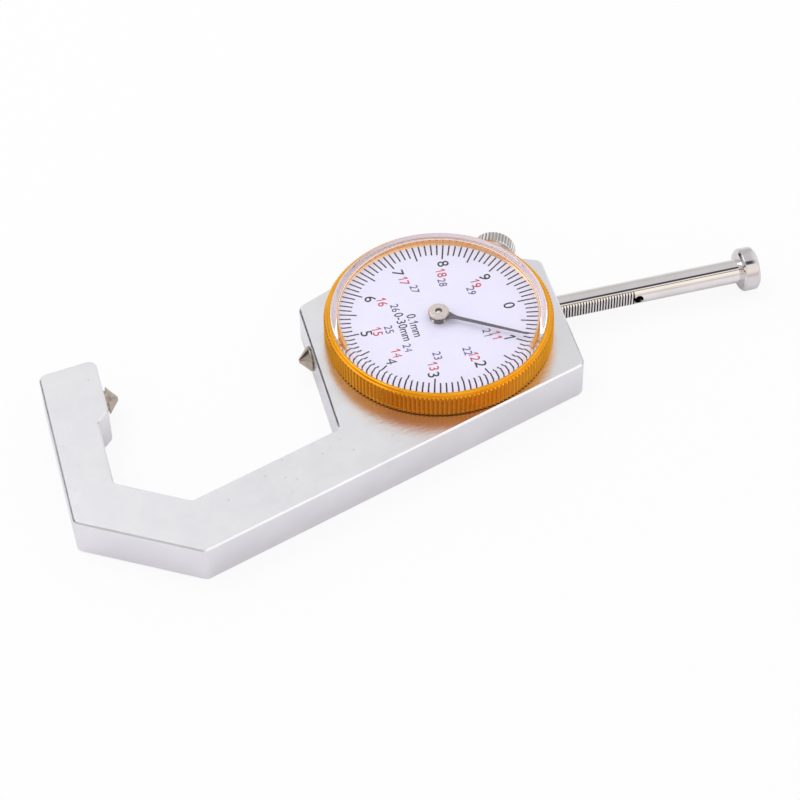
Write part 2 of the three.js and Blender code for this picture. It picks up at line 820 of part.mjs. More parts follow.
function retainer_screw(angle) {
  const shank_length = retainer_screw_length - retainer_screw_head_height
  const screw = slotted_screw(
    retainer_screw_head_radius,
    retainer_screw_head_height,
    retainer_screw_shank_radius,
    shank_length,
  )
  const [x, y] = [retainer_screw_circle * Math.cos(angle), retainer_screw_circle * Math.sin(angle)]
  return screw.translate(x, y, retainer_top - retainer_screw_head_height)
}

// Dial and crystal

const glass_radius = bezel_bore - crystal_clearance
const crystal_inner = glass_radius - crystal_rim_width
const crystal_bottom = dial_top + seat_gap
const crystal_underside = dial_top + crystal_rise
const crystal_top = crystal_underside + crystal_thickness

function dial_plate() {
  return ring(dial_hole_radius, glass_radius, dial_bottom, dial_top, dial_segments)
}

function crystal() {
  const profile = [
    [glass_radius, crystal_bottom],
    [glass_radius, crystal_top - crystal_bevel],
    [glass_radius - crystal_bevel, crystal_top],
    [0, crystal_top],
    [0, crystal_underside],
    [crystal_inner - crystal_bevel, crystal_underside],
    [crystal_inner, crystal_underside - crystal_bevel],
    [crystal_inner, crystal_bottom],
  ]
  return revolve_ring(profile, dial_segments)
}

// Pointer

function pointer_hub() {
  const bore = arbor_tip_radius + press_clearance
  const cap_bottom = hub_top - hub_cap_height
  const profile = [
    [bore, hub_bottom],
    [hub_radius, hub_bottom],
    [hub_radius, cap_bottom],
    [hub_cap_radius, cap_bottom],
    [hub_cap_radius, hub_top - hub_cap_round],
    [hub_cap_radius - hub_cap_round, hub_top],
    [bore, hub_top],
  ]
  return revolve_ring(profile, round_segments)
}

// The reading at rest is what is left of the open gap after whole turns of the pointer.
const travel_per_turn = rack_pitch * pinion_tooth_count
const needle_angle = -full_turn * ((gap_open % travel_per_turn) / travel_per_turn)
const needle_length = crystal_inner - needle_rim_gap

function pointer_needle() {
  const inner = hub_radius + press_clearance
  const ring_radius = inner + needle_ring_width
  const root = Math.asin(needle_root_width / 2 / ring_radius)
  const shape = new THREE.Shape()
  shape.absarc(0, 0, ring_radius, root, full_turn - root, false)
  shape.lineTo(needle_waist_reach, -needle_waist_width / 2)
  shape.lineTo(needle_length - needle_tail_width, -needle_tip_width / 2)
  shape.lineTo(needle_length, 0)
  shape.lineTo(needle_length - needle_tail_width, needle_tip_width / 2)
  shape.lineTo(needle_waist_reach, needle_waist_width / 2)
  shape.closePath()
  shape.holes.push(new THREE.Path().absarc(0, 0, inner, 0, full_turn, true))
  const plate = new THREE.ExtrudeGeometry(shape, {
    depth: needle_thickness,
    bevelEnabled: false,
    curveSegments: small_segments,
  })
  const underside = hub_top - hub_cap_height - seat_gap - needle_thickness
  return plate.rotateZ(needle_angle).translate(0, 0, underside)
}

// Lock screw and its pad

function lock_screw() {
  const pad_top = nose_centre + lock_pad_length
  const shank_bottom = pad_top + seat_gap
  const head_top = lock_reach + lock_head_length
  const profile = [
    [0, shank_bottom],
    [lock_shank_radius, shank_bottom],
    [lock_shank_radius, lock_reach],
    [lock_head_radius - lock_head_chamfer, lock_reach],
    [lock_head_radius + seat_gap, lock_reach + lock_head_chamfer],
    [lock_head_radius + seat_gap, head_top - lock_head_chamfer],
    [lock_head_radius - lock_head_chamfer, head_top],
    [0, head_top],
  ]
  const turned = solid(revolve(profile, round_segments))
  const outline = knurl_outline(lock_head_radius, lock_knurl_depth, lock_knurl_count)
  const knurled = solid(prism(outline, shank_bottom - overrun, head_top + overrun))
  const pin = lock_pad_radius / 2 + running_clearance
  const socket = rod(pin, shank_bottom - overrun, shank_bottom + lock_pad_recess + seat_gap, small_segments)
  return onto_lock_line(geometry_of(turned.intersect(knurled).subtract(solid(socket))))
}

function lock_pad() {
  const top = nose_centre + lock_pad_length
  const profile = [[0, nose_centre - lock_pad_radius]]
  const steps = corner_segments + 1
  for (let i = 1; i <= steps; i += 1) {
    const angle = (i * quarter_turn) / steps
    profile.push([lock_pad_radius * Math.sin(angle), nose_centre - lock_pad_radius * Math.cos(angle)])
  }
  profile.push(
    [lock_pad_radius, top],
    [lock_pad_radius / 2, top],
    [lock_pad_radius / 2, top + lock_pad_recess],
    [0, top + lock_pad_recess],
  )
  return onto_lock_line(revolve(profile, small_segments))
}

add('frame', frame(), 'frame')
add('anvil_tip', anvil_tip(), 'tip')
add('spindle_rod', spindle_rod(), 'steel')
add('spindle_tip', spindle_tip(), 'tip')
add('spindle_knob', spindle_knob(), 'steel')
add('pinion_arbor', pinion_arbor(), 'steel')
add('pinion_bush', pinion_bush(), 'brass')
add('hairspring', hairspring(), 'spring')
add('hairspring_collet', hairspring_collet(), 'brass')
add('hairspring_stud', hairspring_stud(), 'brass')
add('movement_bridge', movement_bridge(), 'brass')
bridge_screw_sides.forEach((side, i) => add(`bridge_screw_${i + 1}`, bridge_screw(side), 'steel'))
add('bezel_retainer', bezel_retainer(), 'brass')
retainer_screw_angles.forEach((angle, i) => add(`retainer_screw_${i + 1}`, retainer_screw(angle), 'steel'))
add('bezel_spring', bezel_spring(), 'spring')
add('bezel_ring', bezel_ring(), 'gold')
add('dial_plate', dial_plate(), 'dial')
add('crystal', crystal(), 'crystal')
add('pointer_hub', pointer_hub(), 'nickel')
add('pointer_needle', pointer_needle(), 'needle')
add('lock_screw', lock_screw(), 'nickel')
add('lock_pad', lock_pad(), 'brass')

export default group
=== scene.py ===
# %% [markdown]
# A dial thickness gauge
#
# The gauge measures a sheet between two cone tips. One tip is fixed in the arm of a C-shaped frame, and
# the other sits on a polished rod. Teeth along the rod turn a small pinion, which carries the pointer
# over a dial under a clear crystal, inside a knurled gold ring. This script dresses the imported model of
# the gauge in its finished surfaces. Every cell makes one piece or one finish, and says why it is made
# that way.

# %% Load the frame
import math

import bmesh
import bpy
from mathutils import Matrix, Vector


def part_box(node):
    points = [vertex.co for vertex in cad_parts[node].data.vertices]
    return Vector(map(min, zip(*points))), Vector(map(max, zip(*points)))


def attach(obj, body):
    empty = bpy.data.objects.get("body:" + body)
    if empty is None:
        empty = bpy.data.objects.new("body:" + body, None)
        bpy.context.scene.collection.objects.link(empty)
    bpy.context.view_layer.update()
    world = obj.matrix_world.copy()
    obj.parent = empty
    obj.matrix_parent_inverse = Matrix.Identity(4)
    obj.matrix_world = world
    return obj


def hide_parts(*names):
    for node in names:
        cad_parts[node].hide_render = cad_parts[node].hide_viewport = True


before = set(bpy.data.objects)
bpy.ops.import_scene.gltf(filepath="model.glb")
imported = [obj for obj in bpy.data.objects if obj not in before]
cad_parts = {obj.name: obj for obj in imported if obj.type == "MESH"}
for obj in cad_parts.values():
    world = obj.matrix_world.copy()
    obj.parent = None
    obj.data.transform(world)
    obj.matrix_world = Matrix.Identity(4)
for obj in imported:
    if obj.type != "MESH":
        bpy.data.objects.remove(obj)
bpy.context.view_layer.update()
mm = 0.001

# %% [markdown]
# Places that every piece shares
#
# The spindle and the dial are the gauge's two axes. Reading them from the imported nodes, instead of typing
# them again, keeps every dressed piece on the axis that its plain node has.

# %% Read the two axes and the main heights
knob_low, knob_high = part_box("spindle_knob")
spindle_y = (knob_low.y + knob_high.y) / 2
spindle_z = (knob_low.z + knob_high.z) / 2
frame_low, frame_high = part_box("frame")
frame_top = frame_high.z
dial_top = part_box("dial_plate")[1].z
print("spindle axis:", round(spindle_y / mm, 3), round(spindle_z / mm, 3))
print("dial top:", round(dial_top / mm, 3))

# %% [markdown]
# The camera
#
# The camera stands where the photograph's camera stood: in front of the gauge, a little to its left,
# looking down at about 48 degrees. Its three directions are the columns of a rotation matrix, which is
# the plainest way to set a camera that was worked out from a picture.

# %% Set the camera
camera_place = Vector((-80.74, -294.17, 333.04)) * mm
camera_right = Vector((0.96575, -0.25907, -0.01453))
camera_up = Vector((0.2029, 0.7191, 0.6646))
camera_forward = Vector((0.16173, 0.64478, -0.74706))
focal_pixels = 2662.8
image_pixels = 800
sensor_mm = 36


def into_scene(thing):
    """Puts an object into the scene, and gives it back."""
    bpy.context.scene.collection.objects.link(thing)
    return thing


camera = into_scene(bpy.data.objects.new("camera", bpy.data.cameras.new("camera")))
camera.data.sensor_width = sensor_mm
camera.data.lens = sensor_mm * focal_pixels / image_pixels
turned_camera = Matrix((camera_right, camera_up, -camera_forward)).transposed().to_4x4()
camera.matrix_world = Matrix.Translation(camera_place) @ turned_camera
camera.data.clip_start = 0.01
camera.data.clip_end = 20
bpy.context.scene.camera = camera
bpy.context.scene.view_settings.view_transform = "Standard"
print("lens:", round(camera.data.lens, 2), "mm")

# %% [markdown]
# Helpers for nodes
#
# Materials, the world and the patterns are all node trees, so a few short helpers save most of the
# typing: one sets an input or links it, one adds a maths step, and one turns a screen colour into the
# light values that shaders work in.


# %% Define the node helpers
def colour(code):
    """A screen colour such as e6e4f7 as linear light."""
    channels = [int(code[i : i + 2], 16) / 255 for i in (0, 2, 4)]
    return [c / 12.92 if c <= 0.04045 else ((c + 0.055) / 1.055) ** 2.4 for c in channels] + [1]


def feed(tree, socket, value):
    """Links an output to the socket, or sets the socket's own value."""
    if isinstance(value, bpy.types.NodeSocket):
        tree.links.new(value, socket)
    else:
        socket.default_value = value


def node(tree, kind, inputs=None, **settings):
    """Adds a node, sets its options and feeds its inputs."""
    made = tree.nodes.new(kind)
    for name, value in settings.items():
        setattr(made, name, value)
    for name, value in (inputs or {}).items():
        feed(tree, made.inputs[name], value)
    return made


def maths(tree, operation, first, second=0.0, clamp=False):
    """One step of arithmetic, as an output."""
    step = node(tree, "ShaderNodeMath", {0: first, 1: second}, operation=operation, use_clamp=clamp)
    return step.outputs[0]


def vector(tree, x=0.0, y=0.0, z=0.0):
    """Three numbers put together as a vector, as an output."""
    return node(tree, "ShaderNodeCombineXYZ", {"X": x, "Y": y, "Z": z}).outputs[0]


def past(tree, value, start, rise):
    """Nought up to the start, then rising to one, as an output."""
    return maths(tree, "MULTIPLY", maths(tree, "SUBTRACT", value, start), rise, clamp=True)


def mixed(tree, share, first, second):
    """A mix of two colours, as an output."""
    mix = node(tree, "ShaderNodeMix", {"Factor": share}, data_type="RGBA")
    feed(tree, mix.inputs[6], first)
    feed(tree, mix.inputs[7], second)
    return mix.outputs[2]


# %% [markdown]
# The studio
#
# Polished metal shows the room around it, so the room is half of the finish. The rod in the photograph
# shows a long white light, a thin dark gap and a second, warmer light, side by side along its length. The
# world is painted as just those long bands, by the angle around the rod's own direction, and only glossy
# rays see them. Away from the rod's own reflection the light from above is soft and even, and low on the
# far left the room is dark, as the sides of polished pieces show. The camera sees plain white, and matt
# surfaces get an even light, so that colours come out as they are written.

# %% Paint the world
world_bands = [
    (-180, 0.80, 0.78, 0.77),
    (-20, 0.70, 0.69, 0.69),
    (0, 0.74, 0.73, 0.73),
    (30, 0.64, 0.63, 0.62),
    (58, 0.72, 0.71, 0.71),
    (76, 0.70, 0.69, 0.72),
    (91, 0.74, 0.72, 0.78),
    (97, 0.07, 0.065, 0.08),
    (111, 0.07, 0.065, 0.08),
    (116, 1.04, 1.0, 0.93),
    (148, 1.13, 1.06, 0.96),
    (157, 1.04, 0.96, 0.88),
    (168, 0.80, 0.73, 0.69),
    (180, 0.76, 0.69, 0.66),
]
side_light = 0.88
side_slope = 0.5
rod_glance = 0.265
beside_rod = {"start": 0.05, "rise": 12.0}
above_floor = {"start": 0.3, "rise": 4.0}
far_left = {"start": 0.45, "rise": 6.0}
near_horizon = {"start": -0.42, "rise": 6.0}
far_half = {"start": 0.2, "rise": 5.0}
dark_wall = [0.03, 0.03, 0.035, 1]
even_light = 0.95
white = [1, 1, 1, 1]

world = bpy.data.worlds.new("studio")
bpy.context.scene.world = world
world.use_nodes = True
tree = world.node_tree
tree.nodes.clear()
place = node(tree, "ShaderNodeTexCoord")
split = node(tree, "ShaderNodeSeparateXYZ", {0: place.outputs["Generated"]})
angle = maths(tree, "ARCTAN2", split.outputs["Z"], split.outputs["Y"])
turn_share = maths(tree, "MULTIPLY_ADD", angle, 1 / (2 * math.pi))
turn_share.node.inputs[2].default_value = 0.5
bands = node(tree, "ShaderNodeValToRGB", {"Fac": turn_share})
stops = bands.color_ramp.elements
for i, (degrees, *light) in enumerate(world_bands):
    stop = stops[i] if i < len(stops) else stops.new(1)
    stop.position = (degrees + 180) / 360
    stop.color = [*light, 1]
x, y, z = split.outputs["X"], split.outputs["Y"], split.outputs["Z"]
leftness = maths(tree, "MULTIPLY", x, -1.0)
lowness = maths(tree, "MULTIPLY", maths(tree, "ABSOLUTE", z), -1.0)
dark_side = maths(tree, "MULTIPLY", past(tree, leftness, **far_left), past(tree, lowness, **near_horizon))
dark_side = maths(tree, "MULTIPLY", dark_side, past(tree, y, **far_half))
off_middle = maths(tree, "ABSOLUTE", maths(tree, "SUBTRACT", x, rod_glance))
soft_boxes = maths(tree, "MULTIPLY", past(tree, off_middle, **beside_rod), past(tree, z, **above_floor))
box_light = maths(tree, "ADD", maths(tree, "MULTIPLY", x, side_slope), side_light)
room = mixed(tree, soft_boxes, bands.outputs["Color"], box_light)
room = mixed(tree, dark_side, room, dark_wall)
rays = node(tree, "ShaderNodeLightPath")
seen = mixed(tree, rays.outputs["Is Glossy Ray"], [even_light, even_light, even_light, 1], room)
plain = maths(tree, "MAXIMUM", rays.outputs["Is Camera Ray"], rays.outputs["Is Transmission Ray"])
seen = mixed(tree, plain, seen, white)
background = node(tree, "ShaderNodeBackground", {"Color": seen})
tree.links.new(background.outputs[0], node(tree, "ShaderNodeOutputWorld").inputs[0])
print("world bands:", len(stops))

# %% [markdown]
# The floor and the lamp
#
# The gauge lies on a white table. The floor shows the camera mostly its own white, with a share of real
# light left in it, so that a faint shadow stays under the gauge. One large soft lamp from the upper left
# gives the rounded edges a direction without hard shadows.

# %% Make the floor and the lamp
floor_side = 6.0
floor_grey = "edebee"
shadow_share = 0.12
reflected_share = 0.95
floor_mesh = bpy.data.meshes.new("floor")
reach = floor_side / 2
floor_corners = [(-reach, -reach, 0), (reach, -reach, 0), (reach, reach, 0), (-reach, reach, 0)]
floor_mesh.from_pydata(floor_corners, [], [(0, 1, 2, 3)])
floor = into_scene(bpy.data.objects.new("floor", floor_mesh))
floor_paint = bpy.data.materials.new("floor_white")
floor_paint.use_nodes = True
tree = floor_paint.node_tree
tree.nodes.clear()
matt = node(tree, "ShaderNodeBsdfDiffuse", {"Color": colour(floor_grey)})
lit = node(tree, "ShaderNodeEmission", {"Color": white, "Strength": 1.0})
rays = node(tree, "ShaderNodeLightPath")
plain = maths(tree, "MAXIMUM", rays.outputs["Is Camera Ray"], rays.outputs["Is Transmission Ray"])
plain = maths(tree, "MULTIPLY", plain, 1 - shadow_share)
mirrored = maths(tree, "MULTIPLY", rays.outputs["Is Glossy Ray"], 1 - reflected_share)
glow_share = maths(tree, "MAXIMUM", plain, mirrored)
blend = node(tree, "ShaderNodeMixShader", {"Fac": glow_share, 1: matt.outputs[0], 2: lit.outputs[0]})
tree.links.new(blend.outputs[0], node(tree, "ShaderNodeOutputMaterial").inputs[0])
floor_mesh.materials.append(floor_paint)

lamp_side = 0.5
lamp_watts = 1.2
lamp_place = Vector((-0.35, 0.25, 0.6))
lamp = into_scene(bpy.data.objects.new("soft_lamp", bpy.data.lights.new("soft_lamp", "AREA")))
lamp.data.size = lamp_side
lamp.data.energy = lamp_watts
lamp.location = lamp_place
lamp.rotation_euler = (-lamp_place).to_track_quat("-Z", "Y").to_euler()
print("floor side:", floor_side, "m, lamp:", lamp_watts, "W")

# %% [markdown]
# Helpers for shapes
#
# Most pieces of a gauge are turned on a lathe, so most of them are a profile swept round an axis. A
# corner of a profile or an outline is written with a radius, and becomes an arc. Real edges are never
# perfectly sharp, and that small arc is what catches the light. Long flat faces beside small arcs would
# shade badly with plain smooth normals, so each finished piece gets its normals weighted by the size of
# its faces.


# %% Define the shape helpers
def rounded(corners, steps=6, loop=True):
    """The points of a line whose corners are (x, y, radius), each radius drawn as an arc."""
    points = []
    count = len(corners)
    for i, (x, y, radius) in enumerate(corners):
        here = Vector((x, y))
        open_end = not loop and i in (0, count - 1)
        if open_end or radius == 0:
            points.append((x, y))
            continue
        back = (Vector(corners[i - 1][:2]) - here).normalized()
        ahead = (Vector(corners[(i + 1) % count][:2]) - here).normalized()
        half_corner = back.angle(ahead) / 2
        centre = here + (back + ahead).normalized() * radius / math.sin(half_corner)
        start = here + back * radius / math.tan(half_corner) - centre
        turn = math.pi - 2 * half_corner
        if back.x * ahead.y - back.y * ahead.x > 0:
            turn = -turn
        for step in range(steps + 1):
            swing = turn * step / steps
            c, s = math.cos(swing), math.sin(swing)
            points.append((centre.x + c * start.x - s * start.y, centre.y + s * start.x + c * start.y))
    return points


def new_piece(name, corners, faces):
    """An object from points and faces, with its faces turned outwards."""
    mesh = bpy.data.meshes.new(name)
    mesh.from_pydata(corners, [], faces)
    work = bmesh.new()
    work.from_mesh(mesh)
    bmesh.ops.recalc_face_normals(work, faces=work.faces)
    work.to_mesh(mesh)
    work.free()
    return into_scene(bpy.data.objects.new(name, mesh))


def turned(name, profile, segments=128, loop=False):
    """A profile of (radius, height) swept round +Z. It starts and ends on the axis, or it is a loop."""
    corners = []
    faces = []
    rings = []
    for radius, height in profile:
        around = 1 if radius == 0 else segments
        rings.append([len(corners) + i for i in range(around)])
        for i in range(around):
            swing = 2 * math.pi * i / segments
            corners.append((radius * math.cos(swing), radius * math.sin(swing), height))
    for low, high in zip(rings, rings[1:] + (rings[:1] if loop else [])):
        for i in range(segments):
            j = (i + 1) % segments
            around = (low[i % len(low)], low[j % len(low)], high[j % len(high)], high[i % len(high)])
            faces.append(list(dict.fromkeys(around)))
    return new_piece(name, corners, faces)


# %% [markdown]
# A turned or stacked shape is only the start of a piece. These helpers finish it: they cut its holes with
# Boolean modifiers, smooth it, store the numbers that its finish reads, move it into place, and hand it
# over with its material and its body.


# %% Define the helpers that finish a piece
def settle(piece):
    """Turns what the modifiers make into the piece's own mesh."""
    graph = bpy.context.evaluated_depsgraph_get()
    done = bpy.data.meshes.new_from_object(piece.evaluated_get(graph))
    piece.modifiers.clear()
    piece.data = done
    done.name = piece.name
    return piece


def cut(piece, *tools):
    """Cuts the tools out of the piece, and throws the tools away."""
    for tool in tools:
        step = piece.modifiers.new("cut", "BOOLEAN")
        step.operation = "DIFFERENCE"
        step.object = tool
        step.solver = "EXACT"
    settle(piece)
    for tool in tools:
        bpy.data.objects.remove(tool)
    return piece


def smooth(piece, crease=32):
    """Smooth shading that keeps creases sharp and large faces flat."""
    piece.data.shade_smooth()
    piece.data.set_sharp_from_angle(angle=math.radians(crease))
    weigh = piece.modifiers.new("weigh", "WEIGHTED_NORMAL")
    weigh.keep_sharp = True
    return settle(piece)


def store(piece, name, measure):
    """Stores a number from 0 to 1 on every face corner, for the finish to read."""
    layer = piece.data.attributes.new(name, "FLOAT", "CORNER")
    for face in piece.data.polygons:
        for loop in face.loop_indices:
            corner = piece.data.vertices[piece.data.loops[loop].vertex_index].co
            layer.data[loop].value = min(max(float(measure(corner, face.normal)), 0), 1)


wall_tilt = 0.3


def upright(normal):
    """Whether a face stands nearly upright."""
    return abs(normal.z) < wall_tilt


def put(piece, *steps):
    """Moves the piece's mesh through matrices, the last one first."""
    whole = Matrix.Identity(4)
    for step in steps:
        whole = whole @ step
    piece.data.transform(whole)
    return piece


def drill(radius, bottom, top, segments=64):
    """A plain cylinder for cutting a hole along +Z."""
    return turned("drill", [(0, bottom), (radius, bottom), (radius, top), (0, top)], segments)


def dress(piece, body, finish, slot, *nodes):
    """Gives a finished piece its material and body, and hides the nodes that it stands for. The slot is not
    used.
    """
    piece.data.materials.clear()
    piece.data.materials.append(finish)
    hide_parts(*nodes)
    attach(piece, body)
    print(piece.name, "has", len(piece.data.polygons), "faces")


same_place = 0.000001
along_x = Matrix.Rotation(math.pi / 2, 4, "Y")
onto_spindle = Matrix.Translation((0, spindle_y, spindle_z))

# %% [markdown]
# Shader groups
#
# The finishes share three effects, so each effect is a group that is built once. Grain is noise stretched
# along one direction, as a grinding belt leaves it. Mottle is soft unevenness, as in cast and polished
# metal. Pits are small dark specks, from a pattern of scattered points.


# %% Build the shader groups
def new_group(name, inputs, outputs):
    """An empty shader group with number inputs and outputs, and the sockets inside it."""
    group = bpy.data.node_groups.new(name, "ShaderNodeTree")
    for label, value in inputs.items():
        socket = group.interface.new_socket(label, in_out="INPUT", socket_type="NodeSocketFloat")
        socket.default_value = value
    for label in outputs:
        group.interface.new_socket(label, in_out="OUTPUT", socket_type="NodeSocketFloat")
    return group, group.nodes.new("NodeGroupInput").outputs, group.nodes.new("NodeGroupOutput").inputs


def on_piece(group):
    """The place on the piece, as an output."""
    return node(group, "ShaderNodeTexCoord").outputs["Object"]


def noise(group, place, scale, detail, roughness):
    """Soft noise from 0 to 1, as an output."""
    inputs = {"Vector": place, "Scale": scale, "Detail": detail, "Roughness": roughness}
    return node(group, "ShaderNodeTexNoise", inputs).outputs["Fac"]


def grain_group():
    """Noise stretched along one direction of the XY plane."""
    inputs = {"Turn": 0.0, "Lines per metre": 3000.0, "Stretch": 20.0}
    group, given, result = new_group("grain", inputs, ["Height"])
    across = given["Lines per metre"]
    along = maths(group, "DIVIDE", across, given["Stretch"])
    turned_place = {"Vector": on_piece(group), "Rotation": vector(group, z=given["Turn"])}
    straight = node(group, "ShaderNodeMapping", turned_place, vector_type="POINT").outputs[0]
    scale = vector(group, along, across, across)
    stretched = node(group, "ShaderNodeVectorMath", {0: straight, 1: scale}, operation="MULTIPLY")
    lines = noise(group, stretched.outputs[0], scale=1.0, detail=3.0, roughness=0.65)
    group.links.new(lines, result["Height"])
    return group


def mottle_group():
    """Soft patches, with their contrast round the middle value."""
    inputs = {"Patches per metre": 200.0, "Contrast": 1.0}
    group, given, result = new_group("mottle", inputs, ["Amount"])
    clouds = noise(group, on_piece(group), given["Patches per metre"], detail=5.0, roughness=0.6)
    middle = maths(group, "SUBTRACT", clouds, 0.5)
    spread = maths(group, "MULTIPLY", middle, given["Contrast"])
    amount = maths(group, "ADD", spread, 0.5, clamp=True)
    group.links.new(amount, result["Amount"])
    return group


def pits_group():
    """Small round spots at a few of many scattered points."""
    inputs = {"Pits per metre": 400.0, "Radius share": 0.1, "Rarity": 0.6}
    group, given, result = new_group("pits", inputs, ["Amount"])
    scattered = {"Vector": on_piece(group), "Scale": given["Pits per metre"], "Randomness": 1.0}
    points = node(group, "ShaderNodeTexVoronoi", scattered)
    inside = maths(group, "LESS_THAN", points.outputs["Distance"], given["Radius share"])
    luck = node(group, "ShaderNodeSeparateColor", {0: points.outputs["Color"]})
    chosen = maths(group, "GREATER_THAN", luck.outputs[0], given["Rarity"])
    group.links.new(maths(group, "MULTIPLY", inside, chosen), result["Amount"])
    return group


grain = grain_group()
mottle = mottle_group()
pits = pits_group()
print("shader groups:", ", ".join(group.name for group in (grain, mottle, pits)))


def placed_group(tree, group, values):
    """A shader group placed in a material with its own values."""
    return node(tree, "ShaderNodeGroup", values, node_tree=group).outputs[0]


# %% [markdown]
# The finishes
#
# Every metal here starts from the same few steps: a colour that drifts a little and a roughness that
# drifts with it. Where a piece stores it, a second colour is painted in: painted shade in knurls, tooth
# spaces and small holes, and painted highlight on the hub barrel's strips. The frame adds a grain in the
# bump and small pits. What sets the metals apart are the values, so one function makes them all, and each
# finish calls it with its own.


# %% Define the metals
frame_pits = {"Pits per metre": 600.0, "Radius share": 0.085, "Rarity": 0.7}
pit_grey = "6a6a6c"
edge_polish = 0.6


def stored(tree, name):
    """A number from 0 to 1 that a piece stores on its own face corners."""
    return node(tree, "ShaderNodeAttribute", attribute_name=name).outputs["Fac"]


def metal(
    name,
    light,
    dark,
    roughness,
    metallic=1.0,
    patches=250.0,
    drift=1.6,
    grain_values=None,
    bump=(0.0, 0.0),
    painted_light=None,
    specks=None,
    bright_edge=False,
):
    """A metal with a drifting colour and roughness. bump is the grain's and the mottle's depth in metres.

    The colour given for grooves is painted in where the piece stores it: painted shade in grooves and
    holes, and painted highlight on bright strips. specks is the darkness of small pits in the face. With a
    bright edge, the faces that the piece marks as an edge are smoother.
    """
    material = bpy.data.materials.new(name)
    material.use_nodes = True
    tree = material.node_tree
    shader = tree.nodes["Principled BSDF"]
    shader.inputs["Metallic"].default_value = metallic
    amount = placed_group(tree, mottle, {"Patches per metre": patches, "Contrast": drift})
    base = mixed(tree, amount, colour(dark), colour(light))
    if painted_light:
        base = mixed(tree, stored(tree, "painted_light"), base, colour(painted_light))
    if specks:
        spots = placed_group(tree, pits, frame_pits)
        base = mixed(tree, maths(tree, "MULTIPLY", spots, specks), base, colour(pit_grey))
    feed(tree, shader.inputs["Base Color"], base)
    low, high = roughness
    rough = low
    if high > low:
        drifting = node(tree, "ShaderNodeMapRange", {"Value": amount, "To Min": high, "To Max": low})
        rough = drifting.outputs[0]
    if bright_edge:
        polish = maths(tree, "SUBTRACT", 1.0, maths(tree, "MULTIPLY", stored(tree, "edge"), edge_polish))
        rough = maths(tree, "MULTIPLY", rough, polish)
    feed(tree, shader.inputs["Roughness"], rough)
    grain_depth, mottle_depth = bump
    normal = None
    if mottle_depth:
        waves = node(tree, "ShaderNodeBump", {"Height": amount, "Distance": mottle_depth, "Strength": 1.0})
        normal = waves.outputs[0]
    if grain_depth:
        lines = placed_group(tree, grain, grain_values)
        ridges = node(tree, "ShaderNodeBump", {"Height": lines, "Distance": grain_depth, "Strength": 1.0})
        if normal:
            feed(tree, ridges.inputs["Normal"], normal)
        normal = ridges.outputs[0]
    if normal:
        feed(tree, shader.inputs["Normal"], normal)
    return material


# %% [markdown]
# Each metal is two close colours, between which it drifts, and a range of roughness. Polished pieces have
# a small range near nought, and ground, plated and anodised ones have a wider range above it.

# %% Mix the metals
bar_angle = 17.5
along_bar = {"Turn": -math.radians(bar_angle), "Lines per metre": 3600.0, "Stretch": 9.0}
frame_metal = metal(
    "satin_frame",
    "f2f2f5",
    "e6e6ea",
    (0.19, 0.26),
    metallic=0.97,
    patches=160.0,
    grain_values=along_bar,
    bump=(0.00004, 0.00002),
    specks=0.3,
    bright_edge=True,
)
# The rod's groove colour is painted shade, near black, for the floors of its tooth spaces and its hole.
polished = metal("polished_steel", "f2efee", "e4e0de", (0.04, 0.08), patches=300.0, painted_light="1c1a1c")
knob_steel = metal("knob_steel", "e6e2e4", "d2ced0", (0.06, 0.12), patches=500.0)
tip_steel = metal("ground_tip", "c9bdb0", "a3978b", (0.16, 0.28), patches=900.0)
# The nickel's groove colour is painted shade for the wall of the hole in the hub cap.
nickel = metal("nickel_plate", "dfd3c8", "cbbfb5", (0.12, 0.22), patches=500.0, painted_light="5a5756")
# The screw's groove colour is painted shade in the grooves of its knurling.
screw_steel = metal("screw_plate", "fbf9f8", "f0eeec", (0.16, 0.28), patches=500.0, painted_light="a29e9c")
# The gold's groove colour is painted shade, dark brown, in the grooves of its knurling.
gold = metal(
    "gold_anodised",
    "fdb72c",
    "f09f14",
    (0.16, 0.26),
    metallic=0.88,
    patches=350.0,
    painted_light="c9780c",
)
# The barrel's groove colour is a cream painted highlight, for four narrow strips round it.
barrel_dark = metal("barrel_dark", "5e595e", "454146", (0.2, 0.3), patches=900.0, painted_light="f0e2bc")
brass = metal("movement_brass", "d8b56a", "b8934a", (0.2, 0.35), patches=500.0)
works_steel = metal("movement_steel", "c9c9cb", "a5a5a8", (0.2, 0.35), patches=500.0)
blued = metal("blued_spring", "6f7f9f", "4c5872", (0.2, 0.3), patches=500.0)
needle_dark = metal("needle_grey", "5e5a62", "4c4850", (0.35, 0.45), metallic=0.5, patches=800.0)
print("materials so far:", len(bpy.data.materials))

# %% [markdown]
# The dial's enamel and inks
#
# The dial is a thin plate with a pale lavender-white coat, printed in black, red and blue-violet. A coat
# like this is matt under its own crystal, so it needs no more than a faint drift in its colour and a dull
# sheen. The inks reflect less than the enamel, so that they stay as dark as they are in print.


# %% Define the coat and the inks
def coat(name, light, dark, roughness, patches=300.0, sheen=0.5):
    """A painted or printed surface."""
    material = metal(name, light, dark, (roughness, roughness), metallic=0.0, patches=patches)
    material.node_tree.nodes["Principled BSDF"].inputs["Specular IOR Level"].default_value = sheen
    return material


enamel = coat("dial_enamel", "eae8fb", "e4e1f8", roughness=0.45)
ink_black = coat("ink_black", "070609", "040305", roughness=0.5, patches=900.0, sheen=0.05)
ink_red = coat("ink_red", "cc2c40", "bc2234", roughness=0.5, patches=900.0, sheen=0.2)
ink_violet = coat("ink_violet", "504872", "443c64", roughness=0.5, patches=900.0, sheen=0.2)
print("inks:", ink_black.name, ink_red.name, ink_violet.name)

# %% [markdown]
# The crystal's plastic
#
# The crystal is moulded in clear plastic, which bends light less than glass does. Rays to the lamp and
# from the matt dial go straight through it, since the renderer would otherwise lose them in its walls and
# leave the dial dark.

# %% Mix the crystal's plastic
crystal_tint = "fdfcff"
crystal_bend = 1.49
scuff_roughness = 0.02
bounces_inside = 5.5


